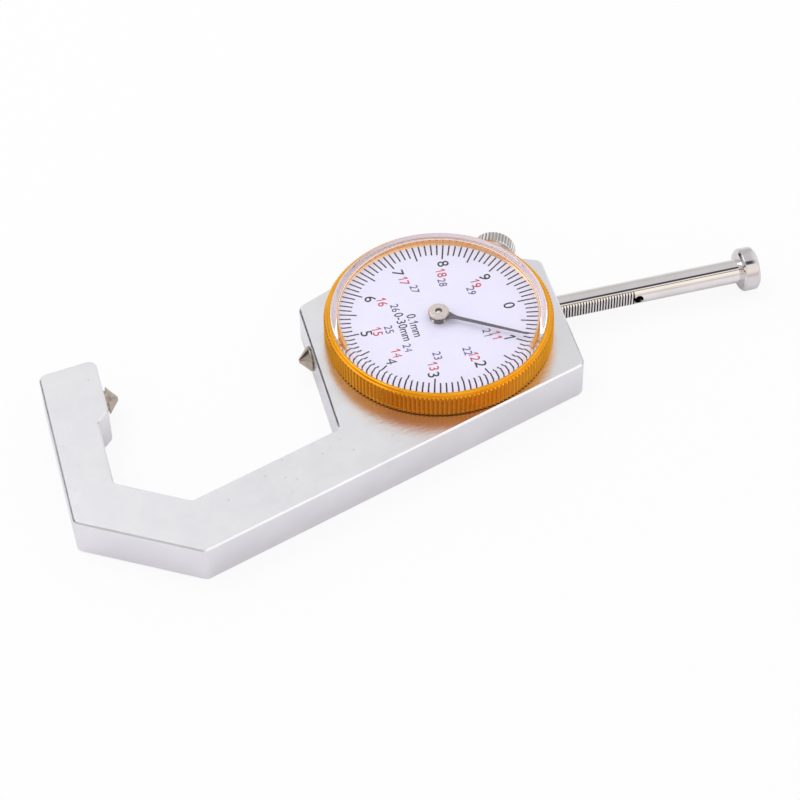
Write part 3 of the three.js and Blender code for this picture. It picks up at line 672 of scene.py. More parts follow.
def clear_plastic():
    """Clear plastic that lets a ray out of its rim after a few bounces, because a real rim is bright."""
    material = bpy.data.materials.new("clear_crystal")
    material.use_nodes = True
    tree = material.node_tree
    shader = tree.nodes["Principled BSDF"]
    shader.inputs["Base Color"].default_value = colour(crystal_tint)
    shader.inputs["Transmission Weight"].default_value = 1.0
    shader.inputs["IOR"].default_value = crystal_bend
    scuffs = placed_group(tree, mottle, {"Patches per metre": 400.0, "Contrast": 1.5})
    dull = node(tree, "ShaderNodeMapRange", {"Value": scuffs, "To Min": 0.0, "To Max": scuff_roughness})
    feed(tree, shader.inputs["Roughness"], dull.outputs[0])
    rays = node(tree, "ShaderNodeLightPath")
    lamps = maths(tree, "MAXIMUM", rays.outputs["Is Shadow Ray"], rays.outputs["Is Diffuse Ray"])
    trapped = maths(tree, "GREATER_THAN", rays.outputs["Ray Depth"], bounces_inside)
    lamps = maths(tree, "MAXIMUM", lamps, trapped)
    open_air = node(tree, "ShaderNodeBsdfTransparent")
    both = node(tree, "ShaderNodeMixShader", {"Fac": lamps, 1: shader.outputs[0], 2: open_air.outputs[0]})
    tree.links.new(both.outputs[0], tree.nodes["Material Output"].inputs[0])
    return material


crystal_clear = clear_plastic()
print("finishes:", len(bpy.data.materials))

# %% [markdown]
# The frame
#
# The frame is one flat casting: an arm with a notched head, a diagonal, a sloping bar and a wide body.
# Its shape is an outline with rounded corners, seen from above, and its edges are a second, small profile
# that steps the outline inwards at the bottom and at the top. Stacking the outline along that profile
# gives clean quads with true arcs, which a bevel on a cut mesh would not.

# %% Draw the frame's outline
body_left = -21.4 * mm
body_right = 21.4 * mm
left_shoulder_rise = 8.85 * mm
right_shoulder_rise = 8.35 * mm
shoulder_angle = 23.4
crown_rise = 14 * mm
arm_outer_x = frame_low.x
arm_width = 7.75 * mm
arm_head_width = 9.8 * mm
arm_head_rise = 6.45 * mm
arm_head_tilt = 7.3
arm_head_fall = 5.6 * mm
notch_angle = 45
elbow_run = 18.75 * mm
elbow_drop = 38.6 * mm
diagonal_angle = 31.25
diagonal_width = 9.45 * mm
bar_width = 10.25 * mm
body_corner = 1.6 * mm
arm_corner = 1.4 * mm
elbow_corner = 1.2 * mm
inner_corner = 0.9 * mm


def crossing(point, angle, other_point, other_angle):
    """Where two lines cross, each given by a point and an angle in degrees."""
    c1, s1 = math.cos(math.radians(angle)), math.sin(math.radians(angle))
    c2, s2 = math.cos(math.radians(other_angle)), math.sin(math.radians(other_angle))
    dx, dy = other_point[0] - point[0], other_point[1] - point[1]
    along = (dx * s2 - dy * c2) / (c1 * s2 - s1 * c2)
    return point[0] + along * c1, point[1] + along * s1


def beside(point, angle, distance):
    """A point moved square to a line, to the line's left."""
    slope = math.radians(angle)
    return point[0] - distance * math.sin(slope), point[1] + distance * math.cos(slope)


def frame_corners():
    """The corners of the C, anticlockwise from the outer corner under the arm."""
    arm_face_x = arm_outer_x + arm_head_width
    arm_neck_x = arm_outer_x + arm_width
    elbow = (arm_outer_x + elbow_run, spindle_y - elbow_drop)
    arm_outer = (arm_outer_x, spindle_y)
    arm_neck = (arm_neck_x, spindle_y)
    right_shoulder = (body_right, spindle_y + right_shoulder_rise)
    left_shoulder = (body_left, spindle_y + left_shoulder_rise)
    crown = (0, spindle_y + crown_rise)
    bar_inner = beside(elbow, bar_angle, bar_width)
    diagonal_inner = beside(elbow, -diagonal_angle, diagonal_width)
    notch_outer = (arm_face_x, spindle_y - arm_head_fall)
    head_right = (arm_face_x, spindle_y + arm_head_rise)
    return [
        (*crossing(elbow, -diagonal_angle, arm_outer, 90), elbow_corner),
        (*elbow, elbow_corner),
        (*crossing(elbow, bar_angle, right_shoulder, 90), body_corner),
        (*right_shoulder, body_corner),
        (*crossing(right_shoulder, -shoulder_angle, crown, 0), body_corner),
        (*crossing(left_shoulder, shoulder_angle, crown, 0), body_corner),
        (*left_shoulder, body_corner),
        (*crossing(bar_inner, bar_angle, left_shoulder, 90), inner_corner),
        (*crossing(bar_inner, bar_angle, diagonal_inner, -diagonal_angle), inner_corner),
        (*crossing(diagonal_inner, -diagonal_angle, arm_neck, 90), inner_corner),
        (*crossing(notch_outer, notch_angle, arm_neck, 90), inner_corner),
        (*notch_outer, inner_corner),
        (*head_right, arm_corner),
        (*crossing(head_right, arm_head_tilt, arm_outer, 90), arm_corner),
    ]


# %% [markdown]
# Stepping an outline inwards is simple when every point knows which way is out. On an arc and on the
# straights beside it that direction is square to the line through the two neighbours, so the step keeps
# every arc true.

# %% Stack the outline into the frame
bottom_round = 0.6 * mm
top_chamfer = 0.3 * mm
chamfer_soft = 0.06 * mm
corner_steps = 10


def stepped(points, inset):
    """The closed outline moved inwards by the inset. A sharp corner moves at most twice as far."""
    moved = []
    count = len(points)
    for i in range(count):
        before = Vector(points[i - 1])
        here = Vector(points[i])
        after = Vector(points[(i + 1) % count])
        first = (here - before).normalized()
        second = (after - here).normalized()
        inward = Vector((-(first.y + second.y), first.x + second.x)).normalized()
        reach = inset / max(inward.dot(Vector((-first.y, first.x))), 0.5)
        moved.append(tuple(here + inward * reach))
    return moved


def stacked(name, outline, profile):
    """A solid from an outline stepped inwards along a profile of (inset, height)."""
    count = len(outline)
    corners = []
    for inset, height in profile:
        corners += [(x, y, height) for x, y in stepped(outline, inset)]
    faces = [list(range(count)), list(range(count * (len(profile) - 1), count * len(profile)))]
    for row in range(len(profile) - 1):
        for i in range(count):
            j = (i + 1) % count
            low, high = row * count, (row + 1) * count
            faces.append([low + i, low + j, high + j, high + i])
    return new_piece(name, corners, faces)


edge_line = [
    (bottom_round + chamfer_soft, 0, 0),
    (0, 0, bottom_round),
    (0, frame_top - top_chamfer, chamfer_soft),
    (top_chamfer, frame_top, chamfer_soft),
    (top_chamfer + 2 * chamfer_soft, frame_top, 0),
]
frame_outline = rounded(frame_corners(), corner_steps)
frame_skin = stacked("frame_casting", frame_outline, rounded(edge_line, loop=False))
print("frame outline points:", len(frame_outline))

# %% [markdown]
# Holes in the frame
#
# The bore for the rod runs right through the body, the anvil has its hole in the arm, and the lock
# screw's hole meets the bore at the angle of the shoulder. Under the dial a round pocket holds the
# movement. They are cut with plain cylinders, because a drill is what makes them on the real casting.

# %% Drill the frame
bore_radius = 2.15 * mm
tip_hole_radius = 1.1 * mm
tip_hole_depth = 4.1 * mm
pocket_radius = 6 * mm
pocket_floor = 1.2 * mm
lock_hole_radius = 1.5 * mm
overrun = 1 * mm

lock_foot_share = 0.39
shoulder_slope = math.radians(shoulder_angle)
shoulder_rise = crown_rise - right_shoulder_rise
shoulder_run = shoulder_rise / math.sin(shoulder_slope) * (1 - lock_foot_share)
lock_foot_x = body_right - shoulder_run * math.cos(shoulder_slope)
lock_foot_y = spindle_y + right_shoulder_rise + shoulder_run * math.sin(shoulder_slope)
onto_lock_line = (
    Matrix.Translation((lock_foot_x, lock_foot_y, spindle_z))
    @ Matrix.Rotation(-shoulder_slope, 4, "Z")
    @ Matrix.Rotation(-math.pi / 2, 4, "X")
)
lock_depth = (lock_foot_y - spindle_y) / math.cos(shoulder_slope)

arm_face_x = arm_outer_x + arm_head_width
bore = drill(bore_radius, body_left - overrun, body_right + overrun, segments=96)
anvil_hole = drill(tip_hole_radius, arm_face_x - tip_hole_depth, arm_face_x + overrun)
for tool in (bore, anvil_hole):
    put(tool, onto_spindle, along_x)
pocket = drill(pocket_radius, pocket_floor, frame_top + overrun, segments=96)
lock_hole = put(drill(lock_hole_radius, -lock_depth, overrun), onto_lock_line)
cut(frame_skin, bore, anvil_hole, pocket, lock_hole)
smooth(frame_skin)
chamfer_tilts = (0.3, 0.95)


def frame_edge(corner, normal):
    """One on the chamfer along the frame's top edge."""
    steepest, flattest = chamfer_tilts
    return steepest < normal.z < flattest and corner.z > frame_top - 2 * top_chamfer


store(frame_skin, "edge", frame_edge)
dress(frame_skin, "gauge_frame", frame_metal, "frame_casting", "frame")

# %% [markdown]
# The cone tips
#
# Both tips are small hardened cones with a tiny flat nose, a rim and a neck. They are turned pieces, so
# each is a profile with rounded corners, swept round and laid along the spindle.


# %% Turn the cone tips
nose_radius = 0.33 * mm
nose_soft = 0.06 * mm
neck_radius = 1.75 * mm
tip_shank_radius = 1 * mm
tip_shank = 4 * mm


def cone_tip(name, radius, length, rim, neck_end):
    """A cone with its nose at zero, pointing along -Z."""
    corners = [
        (0, 0, 0),
        (nose_radius, 0, nose_soft),
        (radius, length, nose_soft),
        (radius, length + rim, nose_soft),
        (neck_radius, length + rim, 0),
        (neck_radius, neck_end, 0),
        (tip_shank_radius, neck_end, 0),
        (tip_shank_radius, neck_end + tip_shank, 0),
        (0, neck_end + tip_shank, 0),
    ]
    return turned(name, rounded(corners, steps=4, loop=False), segments=96)


anvil_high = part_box("anvil_tip")[1]
spindle_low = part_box("spindle_tip")[0]
anvil_shape = {"radius": 2.25 * mm, "length": 1.65 * mm, "rim": 0.15 * mm, "neck_end": 2.3 * mm}
anvil = cone_tip("anvil_cone", **anvil_shape)
turned_back = Matrix.Rotation(math.pi, 4, "Z")
put(anvil, Matrix.Translation((anvil_high.x, spindle_y, spindle_z)), turned_back, along_x)
smooth(anvil)
dress(anvil, "gauge_frame", tip_steel, "hardened_tip", "anvil_tip")

spindle_neck_end = 2.25 * mm
spindle_shape = {"radius": 2.15 * mm, "length": 1.75 * mm, "rim": 0.2 * mm, "neck_end": spindle_neck_end}
spindle_cone = cone_tip("spindle_cone", **spindle_shape)
put(spindle_cone, Matrix.Translation((spindle_low.x, spindle_y, spindle_z)), along_x)
smooth(spindle_cone)
dress(spindle_cone, "spindle", tip_steel, "hardened_tip", "spindle_tip")

# %% [markdown]
# Geometry trees
#
# The rack, the knurling and the dial's marks are shapes that repeat, so Geometry Nodes make them. A tree
# is built once with named inputs, and ends in real geometry with its material set. It runs as a modifier,
# and its result is kept as a plain mesh.


# %% Define the helpers for geometry trees
def new_tree(name, inputs):
    """An empty geometry tree with named inputs, and the sockets inside it."""
    tree = bpy.data.node_groups.new(name, "GeometryNodeTree")
    kinds = {int: "NodeSocketInt", float: "NodeSocketFloat"}
    tree.interface.new_socket("Geometry", in_out="INPUT", socket_type="NodeSocketGeometry")
    for label, value in inputs.items():
        kind = kinds.get(type(value), "NodeSocketMaterial")
        socket = tree.interface.new_socket(label, in_out="INPUT", socket_type=kind)
        if kind != "NodeSocketMaterial":
            socket.default_value = value
    tree.interface.new_socket("Geometry", in_out="OUTPUT", socket_type="NodeSocketGeometry")
    return tree, tree.nodes.new("NodeGroupInput").outputs, tree.nodes.new("NodeGroupOutput").inputs


def shape_step(tree, kind, geometry, **inputs):
    """One step that changes a geometry, as an output."""
    return node(tree, kind, {"Geometry": geometry, **inputs}).outputs[0]


def finish_tree(tree, given, result, geometry):
    """Ends a tree in real geometry with its material set."""
    real = shape_step(tree, "GeometryNodeRealizeInstances", geometry)
    painted = shape_step(tree, "GeometryNodeSetMaterial", real, Material=given["Material"])
    tree.links.new(painted, result[0])
    return tree


def run_tree(piece, tree, values):
    """Runs a tree on the piece with these values, and keeps what it makes."""
    step = piece.modifiers.new(tree.name, "NODES")
    step.node_group = tree
    for item in tree.interface.items_tree:
        if item.in_out == "INPUT" and item.name in values:
            step[item.identifier] = values[item.name]
    return settle(piece)


def between(tree, share, first, second):
    """A number part of the way from the first to the second, as an output."""
    whole = maths(tree, "SUBTRACT", second, first)
    return maths(tree, "ADD", maths(tree, "MULTIPLY", whole, share), first)


# %% [markdown]
# The rod and its rack
#
# The rod is polished steel, with 74 tooth spaces cut across its front side and a hole where the cutter
# left off. The spaces repeat along a line, so Geometry Nodes place one cutter block on every point of a
# line and cut them all from the turned rod in one step. The number, pitch and shape of the spaces stay
# inputs of the tree.


# %% Build the rack cutter
def rack_tree():
    """A tree that cuts a row of tooth spaces out of the piece, along +X and from the -Y side."""
    inputs = {"Spaces": 74, "Pitch": 0.0, "Start": 0.0, "Root": 0.0, "Root width": 0.0, "Mouth width": 0.0}
    tree, given, result = new_tree("rack", {**inputs, "Mouth": 0.0, "Block": 0.0, "Material": None})
    line_inputs = {
        "Count": given["Spaces"],
        "Start Location": vector(tree, given["Start"]),
        "Offset": vector(tree, given["Pitch"]),
    }
    line = node(tree, "GeometryNodeMeshLine", line_inputs)
    block = node(tree, "GeometryNodeMeshCube", {"Size": vector(tree, 1.0, 1.0, given["Block"])})
    corner = node(tree, "GeometryNodeInputPosition")
    split = node(tree, "ShaderNodeSeparateXYZ", {0: corner.outputs[0]})
    deep = maths(tree, "ADD", split.outputs["Y"], 0.5)
    width = between(tree, deep, given["Mouth width"], given["Root width"])
    x = maths(tree, "MULTIPLY", split.outputs["X"], width)
    y = between(tree, deep, given["Mouth"], given["Root"])
    place = vector(tree, x, y, split.outputs["Z"])
    shaped = shape_step(tree, "GeometryNodeSetPosition", block.outputs["Mesh"], Position=place)
    row = node(tree, "GeometryNodeInstanceOnPoints", {"Points": line.outputs[0], "Instance": shaped})
    cutters = node(tree, "GeometryNodeRealizeInstances", {0: row.outputs[0]})
    toothed = node(tree, "GeometryNodeMeshBoolean", {0: given[0]}, operation="DIFFERENCE", solver="EXACT")
    tree.links.new(cutters.outputs[0], toothed.inputs["Mesh 2"])
    return finish_tree(tree, given, result, toothed.outputs[0])


# %% [markdown]
# The crests of the teeth lie on a flat that is milled along the rod first, because round crests would
# ride over the pinion. The flat is one long block, and the spaces go in after it.

# %% Turn and cut the rod
rod_radius = 2.05 * mm
rod_chamfer = 0.15 * mm
spigot_radius = 1.4 * mm
rack_pitch = 0.5 * mm
rack_start = -2 * mm
rack_spaces = 74
rack_root = 1.3 * mm
rack_crest = 1.67 * mm
space_root_width = 0.11 * mm
space_crest_width = 0.38 * mm
hole_radius = 0.8 * mm
hole_place = 35.85 * mm
hole_depth = 1.2 * mm

rod_front = spindle_low.x + spindle_neck_end
rod_rear = knob_low.x
rod_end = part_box("spindle_rod")[1].x
rod_line = [
    (0, rod_front, 0),
    (rod_radius, rod_front, rod_chamfer),
    (rod_radius, rod_rear, 0),
    (spigot_radius, rod_rear, 0),
    (spigot_radius, rod_end, 0),
    (0, rod_end, 0),
]
rod = turned("spindle_rod_polished", rounded(rod_line, steps=4, loop=False))
put(rod, along_x)
flat_front = rack_start + rack_pitch - space_crest_width / 2
flat_rear = rack_start + rack_spaces * rack_pitch + space_crest_width / 2
flat = new_piece(
    "flat",
    [
        (x, y, z)
        for x in (flat_front, flat_rear)
        for y in (-rack_crest, -rod_radius - overrun)
        for z in (-rod_radius - overrun, rod_radius + overrun)
    ],
    [(0, 1, 3, 2), (4, 6, 7, 5), (0, 4, 5, 1), (2, 3, 7, 6), (0, 2, 6, 4), (1, 5, 7, 3)],
)
hole = put(
    drill(hole_radius, rod_radius - hole_depth, rod_radius + overrun),
    Matrix.Translation((hole_place, 0, 0)),
    Matrix.Rotation(math.pi / 2, 4, "X"),
)
socket = put(drill(tip_hole_radius, rod_front - overrun, rod_front + tip_hole_depth), along_x)
cut(rod, flat, hole, socket)
rack_values = {
    "Spaces": rack_spaces,
    "Pitch": rack_pitch,
    "Start": rack_start + rack_pitch,
    "Root": -rack_root,
    "Mouth": -rod_radius,
    "Root width": space_root_width,
    "Mouth width": space_crest_width,
    "Block": 2 * rod_radius + overrun,
    "Material": polished,
}
run_tree(rod, rack_tree(), rack_values)
put(rod, onto_spindle)
smooth(rod, crease=25)
hair = 0.01 * mm


# The floors of the tooth spaces and the hole get painted shade.
def rod_groove(corner, normal):
    """One on the floors of the tooth spaces and in the hole, where shade is painted."""
    across, up = corner.y - spindle_y, corner.z - spindle_z
    in_space = abs(-across - rack_root) < hair
    near_hole = corner.x > flat_rear and abs(corner.x - hole_place) < hole_radius + hair
    return in_space or near_hole and math.hypot(across, up) < rod_radius - hair


store(rod, "painted_light", rod_groove)
dress(rod, "spindle", polished, "polished_steel", "spindle_rod")

# %% [markdown]
# The thumb knob
#
# The knob is a turned button with a chamfer on both ends. Each chamfer runs into its neighbours by a
# small arc.

# %% Turn the knob
knob_radius = (knob_high.z - knob_low.z) / 2
knob_length = knob_high.x - knob_low.x
knob_chamfer = 0.45 * mm
knob_soft = 0.2 * mm
knob_socket = 1.5 * mm
knob_socket_depth = 1.9 * mm
knob_line = [
    (knob_socket, 0, 0),
    (knob_radius - knob_chamfer, 0, knob_soft),
    (knob_radius, knob_chamfer, knob_soft),
    (knob_radius, knob_length - knob_chamfer, knob_soft),
    (knob_radius - knob_chamfer, knob_length, knob_soft),
    (0, knob_length, 0),
    (0, knob_socket_depth, 0),
    (knob_socket, knob_socket_depth, 0),
]
knob = turned("thumb_knob", rounded(knob_line, steps=4), loop=True)
put(knob, Matrix.Translation((knob_low.x, spindle_y, spindle_z)), along_x)
smooth(knob)
dress(knob, "spindle", knob_steel, "polished_steel", "spindle_knob")

# %% [markdown]
# Straight knurling
#
# The gold ring and the lock screw's head both carry straight knurling: rounded grooves side by side all
# the way round, with a narrow ridge left between them. A circle whose radius dips once for every groove,
# pulled up into a prism, is the shape that the knurling wheel leaves. What the turned blank and the prism
# share is the knurled piece, so each groove runs out in an arch where the blank's chamfer meets it.
# Geometry Nodes hold the prism, and both pieces use the one tree.


# %% Build the knurling tree
def knurl_tree():
    """A tree that keeps what the piece shares with a prism, whose wall has rounded grooves all round."""
    inputs = {"Ridges": 100, "Ridge radius": 0.0, "Groove depth": 0.0, "Fullness": 0.6}
    inputs = {**inputs, "Bottom": 0.0, "Height": 0.0, "Points a ridge": 6, "Material": None}
    tree, given, result = new_tree("knurl", inputs)
    points = {
        "Vertices": maths(tree, "MULTIPLY", given["Ridges"], given["Points a ridge"]),
        "Radius": given["Ridge radius"],
    }
    circle = node(tree, "GeometryNodeMeshCircle", points, fill_type="NGON")
    number = node(tree, "GeometryNodeInputIndex")
    phase = maths(tree, "MODULO", number.outputs[0], given["Points a ridge"])
    phase = maths(tree, "DIVIDE", phase, given["Points a ridge"])
    wave = maths(tree, "ABSOLUTE", maths(tree, "SINE", maths(tree, "MULTIPLY", phase, math.pi)))
    wave = maths(tree, "POWER", wave, given["Fullness"])
    dip = maths(tree, "MULTIPLY", wave, given["Groove depth"])
    kept = maths(tree, "SUBTRACT", 1.0, maths(tree, "DIVIDE", dip, given["Ridge radius"]))
    place = node(tree, "GeometryNodeInputPosition")
    shrunk = node(tree, "ShaderNodeVectorMath", {0: place.outputs[0], "Scale": kept}, operation="SCALE")
    base = shape_step(tree, "GeometryNodeSetPosition", circle.outputs[0], Position=shrunk.outputs[0])
    lift = {"Mesh": base, "Offset": vector(tree, z=1.0), "Offset Scale": given["Height"]}
    risen = node(tree, "GeometryNodeExtrudeMesh", {**lift, "Individual": False})
    under = node(tree, "GeometryNodeFlipFaces", {"Mesh": base})
    joined = node(tree, "GeometryNodeJoinGeometry")
    tree.links.new(under.outputs[0], joined.inputs[0])
    tree.links.new(risen.outputs["Mesh"], joined.inputs[0])
    shut = shape_step(tree, "GeometryNodeMergeByDistance", joined.outputs[0], Distance=same_place)
    prism = shape_step(tree, "GeometryNodeTransform", shut, Translation=vector(tree, z=given["Bottom"]))
    shared = node(tree, "GeometryNodeMeshBoolean", operation="INTERSECT", solver="EXACT")
    tree.links.new(given[0], shared.inputs["Mesh 2"])
    tree.links.new(prism, shared.inputs["Mesh 2"])
    return finish_tree(tree, given, result, shared.outputs[0])


groove_shade_limit = 1.1


def groove_share(corner, normal, radius, depth):
    """How deep a corner of a knurled wall lies, from nought on the ridge to one on the floor between
    ridges. The depth sets how much painted shade it gets.
    """
    share = (radius - math.hypot(corner.x, corner.y)) / depth
    return share if upright(normal) and share < groove_shade_limit else 0


knurl = knurl_tree()
print("knurl tree:", len(knurl.nodes), "nodes")

# %% [markdown]
# The gold ring
#
# The bezel's upper half is the part that shows most. The knurling ends in a chamfer, and above it a low
# smooth rim with a rounded edge stands round the crystal. Below, the knurled wall comes down past the
# flange as a thin skirt, and almost closes the gap over the frame.

# %% Turn and knurl the gold ring
bezel_low, bezel_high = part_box("bezel_ring")
bezel_bottom = bezel_low.z
bezel_top = bezel_high.z
bezel_radius = (bezel_high.x - bezel_low.x) / 2
knurl_count = 160
knurl_depth = 0.32 * mm
groove_fullness = 0.6
knurl_top = bezel_bottom + 3.3 * mm
knurl_chamfer = 0.3 * mm
rim_radius = 18.6 * mm
rim_foot = knurl_top + knurl_chamfer
rim_round = 0.2 * mm
bezel_bore = 18.1 * mm
bezel_ledge = 17.1 * mm
ledge_gap = 0.05 * mm
ledge_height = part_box("dial_plate")[0].z - ledge_gap
flange_top = bezel_bottom + 0.75 * mm
flange_inner = 16.05 * mm
skirt_inner = 18.3 * mm
skirt_bottom = bezel_bottom - 0.4 * mm
edge_soft = 0.1 * mm
outside = 0.1 * mm
ring_line = [
    (flange_inner, bezel_bottom, 0),
    (skirt_inner, bezel_bottom, 0),
    (skirt_inner, skirt_bottom, 0),
    (bezel_radius - edge_soft, skirt_bottom, 0),
    (bezel_radius + outside, skirt_bottom + edge_soft + outside, 0),
    (bezel_radius + outside, knurl_top - outside, 0),
    (bezel_radius - knurl_chamfer, rim_foot, edge_soft),
    (rim_radius, rim_foot, edge_soft),
    (rim_radius, bezel_top, rim_round),
    (bezel_bore, bezel_top, edge_soft),
    (bezel_bore, ledge_height, 0),
    (bezel_ledge, ledge_height, 0),
    (bezel_ledge, flange_top, 0),
    (flange_inner, flange_top, 0),
]
bezel = turned("gold_bezel", rounded(ring_line, steps=5), segments=2 * knurl_count, loop=True)
bezel_values = {
    "Ridges": knurl_count,
    "Ridge radius": bezel_radius,
    "Groove depth": knurl_depth,
    "Fullness": groove_fullness,
    "Bottom": bezel_bottom - overrun,
    "Height": bezel_top - bezel_bottom + 2 * overrun,
    "Points a ridge": 6,
    "Material": gold,
}
run_tree(bezel, knurl, bezel_values)
smooth(bezel, crease=25)


# The knurl's grooves get painted shade, darker where they are deeper.
def bezel_groove(corner, normal):
    """The grooves of the ring's wall below its rim, which get painted shade."""
    below_rim = corner.z < rim_foot + edge_soft
    return groove_share(corner, normal, bezel_radius, knurl_depth) if below_rim else 0


store(bezel, "painted_light", bezel_groove)
dress(bezel, "bezel", gold, "gold_bezel", "bezel_ring")

# %% [markdown]
# The dial
#
# The plate is a thin turned disc. Its hundred marks repeat round a circle, so Geometry Nodes place them:
# every mark is one thin bar, and four out of five are shortened.


# %% Make the dial plate and its marks
def marks_tree():
    """A tree that lays bars round a circle, pointing inwards, with one long bar in every few."""
    inputs = {"Marks": 100, "Outer radius": 0.0, "Length": 0.0, "Short share": 0.6, "Width": 0.0}
    inputs = {**inputs, "Thickness": 0.0, "Height": 0.0, "Long every": 5, "Material": None}
    tree, given, result = new_tree("dial_marks", inputs)
    points = {"Vertices": given["Marks"], "Radius": given["Outer radius"]}
    circle = node(tree, "GeometryNodeMeshCircle", points)
    size = vector(tree, given["Length"], given["Width"], given["Thickness"])
    bar = node(tree, "GeometryNodeMeshCube", {"Size": size}).outputs["Mesh"]
    inwards = vector(tree, maths(tree, "MULTIPLY", given["Length"], -0.5))
    hung = shape_step(tree, "GeometryNodeTransform", bar, Translation=inwards)
    number = node(tree, "GeometryNodeInputIndex").outputs[0]
    step = maths(tree, "DIVIDE", 2 * math.pi, given["Marks"])
    left_over = maths(tree, "MODULO", number, given["Long every"])
    is_short = maths(tree, "GREATER_THAN", left_over, 0.5)
    cut_off = maths(tree, "MULTIPLY", is_short, maths(tree, "SUBTRACT", 1.0, given["Short share"]))
    placing = {
        "Points": circle.outputs[0],
        "Instance": hung,
        "Rotation": vector(tree, z=maths(tree, "MULTIPLY", number, step)),
        "Scale": vector(tree, maths(tree, "SUBTRACT", 1.0, cut_off), 1.0, 1.0),
    }
    row = node(tree, "GeometryNodeInstanceOnPoints", placing).outputs[0]
    up = vector(tree, z=given["Height"])
    raised = shape_step(tree, "GeometryNodeTransform", row, Translation=up)
    return finish_tree(tree, given, result, raised)


dial_low, dial_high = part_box("dial_plate")
dial_radius = (dial_high.x - dial_low.x) / 2
dial_hole = 1.2 * mm
plate_soft = 0.05 * mm
plate_line = [
    (dial_hole, dial_low.z, 0),
    (dial_radius, dial_low.z, 0),
    (dial_radius, dial_high.z, plate_soft),
    (dial_hole, dial_high.z, plate_soft),
]
dial = turned("dial_face", rounded(plate_line, steps=3), segments=192, loop=True)
smooth(dial)
dress(dial, "bezel", enamel, "dial_enamel", "dial_plate")

ink_thickness = 0.012 * mm
ink_gap = 0.004 * mm
ink_height = dial_top + ink_gap + ink_thickness / 2
mark_values = {
    "Marks": 100,
    "Outer radius": 17.05 * mm,
    "Length": 3.35 * mm,
    "Short share": 0.716,
    "Width": 0.25 * mm,
    "Thickness": ink_thickness,
    "Height": ink_height,
    "Long every": 5,
    "Material": ink_black,
}
marks = new_piece("dial_marks", [], [])
run_tree(marks, marks_tree(), mark_values)
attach(marks, "bezel")
print("dial marks:", len(marks.data.polygons) // 6)

# %% [markdown]
# The figures
#
# The dial counts turns: black figures for the first ten millimetres, red for the second and blue-violet
# for the third. All of them stand upright with their tops towards the thumb knob. They are text objects
# in Blender's own plain font, each letter made into a mesh. A figure one is drawn by its own outline,
# because that font leaves out its flag, and a figure four gets a thinner stroke, to keep its eye open.


# %% Make the letters
stroke_gain = 0.007
four_gain = -0.008
one_stroke = 0.09
one_flag = 0.2
one_flag_width = 1.3
one_throat = 1.8
letter_gap = 0.075
letter_depth = 0.02
curve_steps = 5


def letter_mesh(letter):
    """One letter or figure as a thin flat mesh, standing on the line."""
    line = bpy.data.curves.new("letter", "FONT")
    line.body = letter
    line.resolution_u = curve_steps
    line.offset = four_gain if letter == "4" else stroke_gain
    line.extrude = letter_depth
    holder = into_scene(bpy.data.objects.new("letter", line))
    graph = bpy.context.evaluated_depsgraph_get()
    graph.update()
    mesh = bpy.data.meshes.new_from_object(holder.evaluated_get(graph))
    bpy.data.objects.remove(holder)
    return mesh


def extent(mesh, axis):
    """The mesh's lowest and highest value along an axis."""
    values = [corner.co[axis] for corner in mesh.vertices]
    return min(values), max(values)


nought = letter_mesh("0")
nought_left, nought_right = extent(nought, 0)
nought_low, nought_high = extent(nought, 1)
nought_width = nought_right - nought_left
nought_height = nought_high - nought_low


def one_mesh():
    """The figure one with its sloping flag."""
    half = one_stroke / 2
    outline = [
        (-half, nought_low),
        (half, nought_low),
        (half, nought_high),
        (-half, nought_high),
        (-one_flag, nought_high - one_flag),
        (-one_flag, nought_high - one_flag - one_flag_width * one_stroke),
        (-half, nought_high - one_throat * one_stroke),
    ]
    piece = stacked("one", outline, [(0, -letter_depth), (0, letter_depth)])
    mesh = piece.data
    bpy.data.objects.remove(piece)
    return mesh


def merged(name, meshes):
    """Several meshes as one new mesh."""
    work = bmesh.new()
    for mesh in meshes:
        work.from_mesh(mesh)
    whole = bpy.data.meshes.new(name)
    work.to_mesh(whole)
    work.free()
    return whole


def text_mesh(words):
    """The words as one flat mesh.

    Every figure gets the room of a nought, and the other letters get their own width.
    """
    letters = []
    end = 0
    for letter in words:
        mesh = one_mesh() if letter == "1" else letter_mesh(letter)
        left, right = extent(mesh, 0)
        room = nought_width if letter.isdigit() else right - left
        mesh.transform(Matrix.Translation((end + (room - right - left) / 2, 0, 0)))
        end += room + letter_gap
        letters.append(mesh)
    return merged("words", letters)


# %% [markdown]
# Each word is fitted in height and width, turned, and laid on the plate by its middle. On the real dial
# the figures stand near their own marks but not quite on them, so every figure has a small nudge, in
# millimetres.


# %% Print the figures
def printed(name, labels, height, narrow, ink):
    """Words laid on the dial. labels holds (words, x, y), with the words' middle at that place."""
    laid = []
    for words, x, y in labels:
        mesh = text_mesh(words)
        left, right = extent(mesh, 0)
        low, high = extent(mesh, 1)
        bottom, top = extent(mesh, 2)
        scale = height / nought_height
        centred = Matrix.Translation((-(left + right) / 2, -(low + high) / 2, -(bottom + top) / 2))
        sized = Matrix.Diagonal((scale * narrow, scale, ink_thickness / (top - bottom), 1))
        tops_to_knob = Matrix.Rotation(-math.pi / 2, 4, "Z")
        mesh.transform(Matrix.Translation((x, y, ink_height)) @ tops_to_knob @ sized @ centred)
        laid.append(mesh)
    piece = into_scene(bpy.data.objects.new(name, merged(name, laid)))
    piece.data.materials.append(ink)
    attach(piece, "bezel")
    print(name, "has", len(labels), "words and", len(piece.data.polygons), "faces")


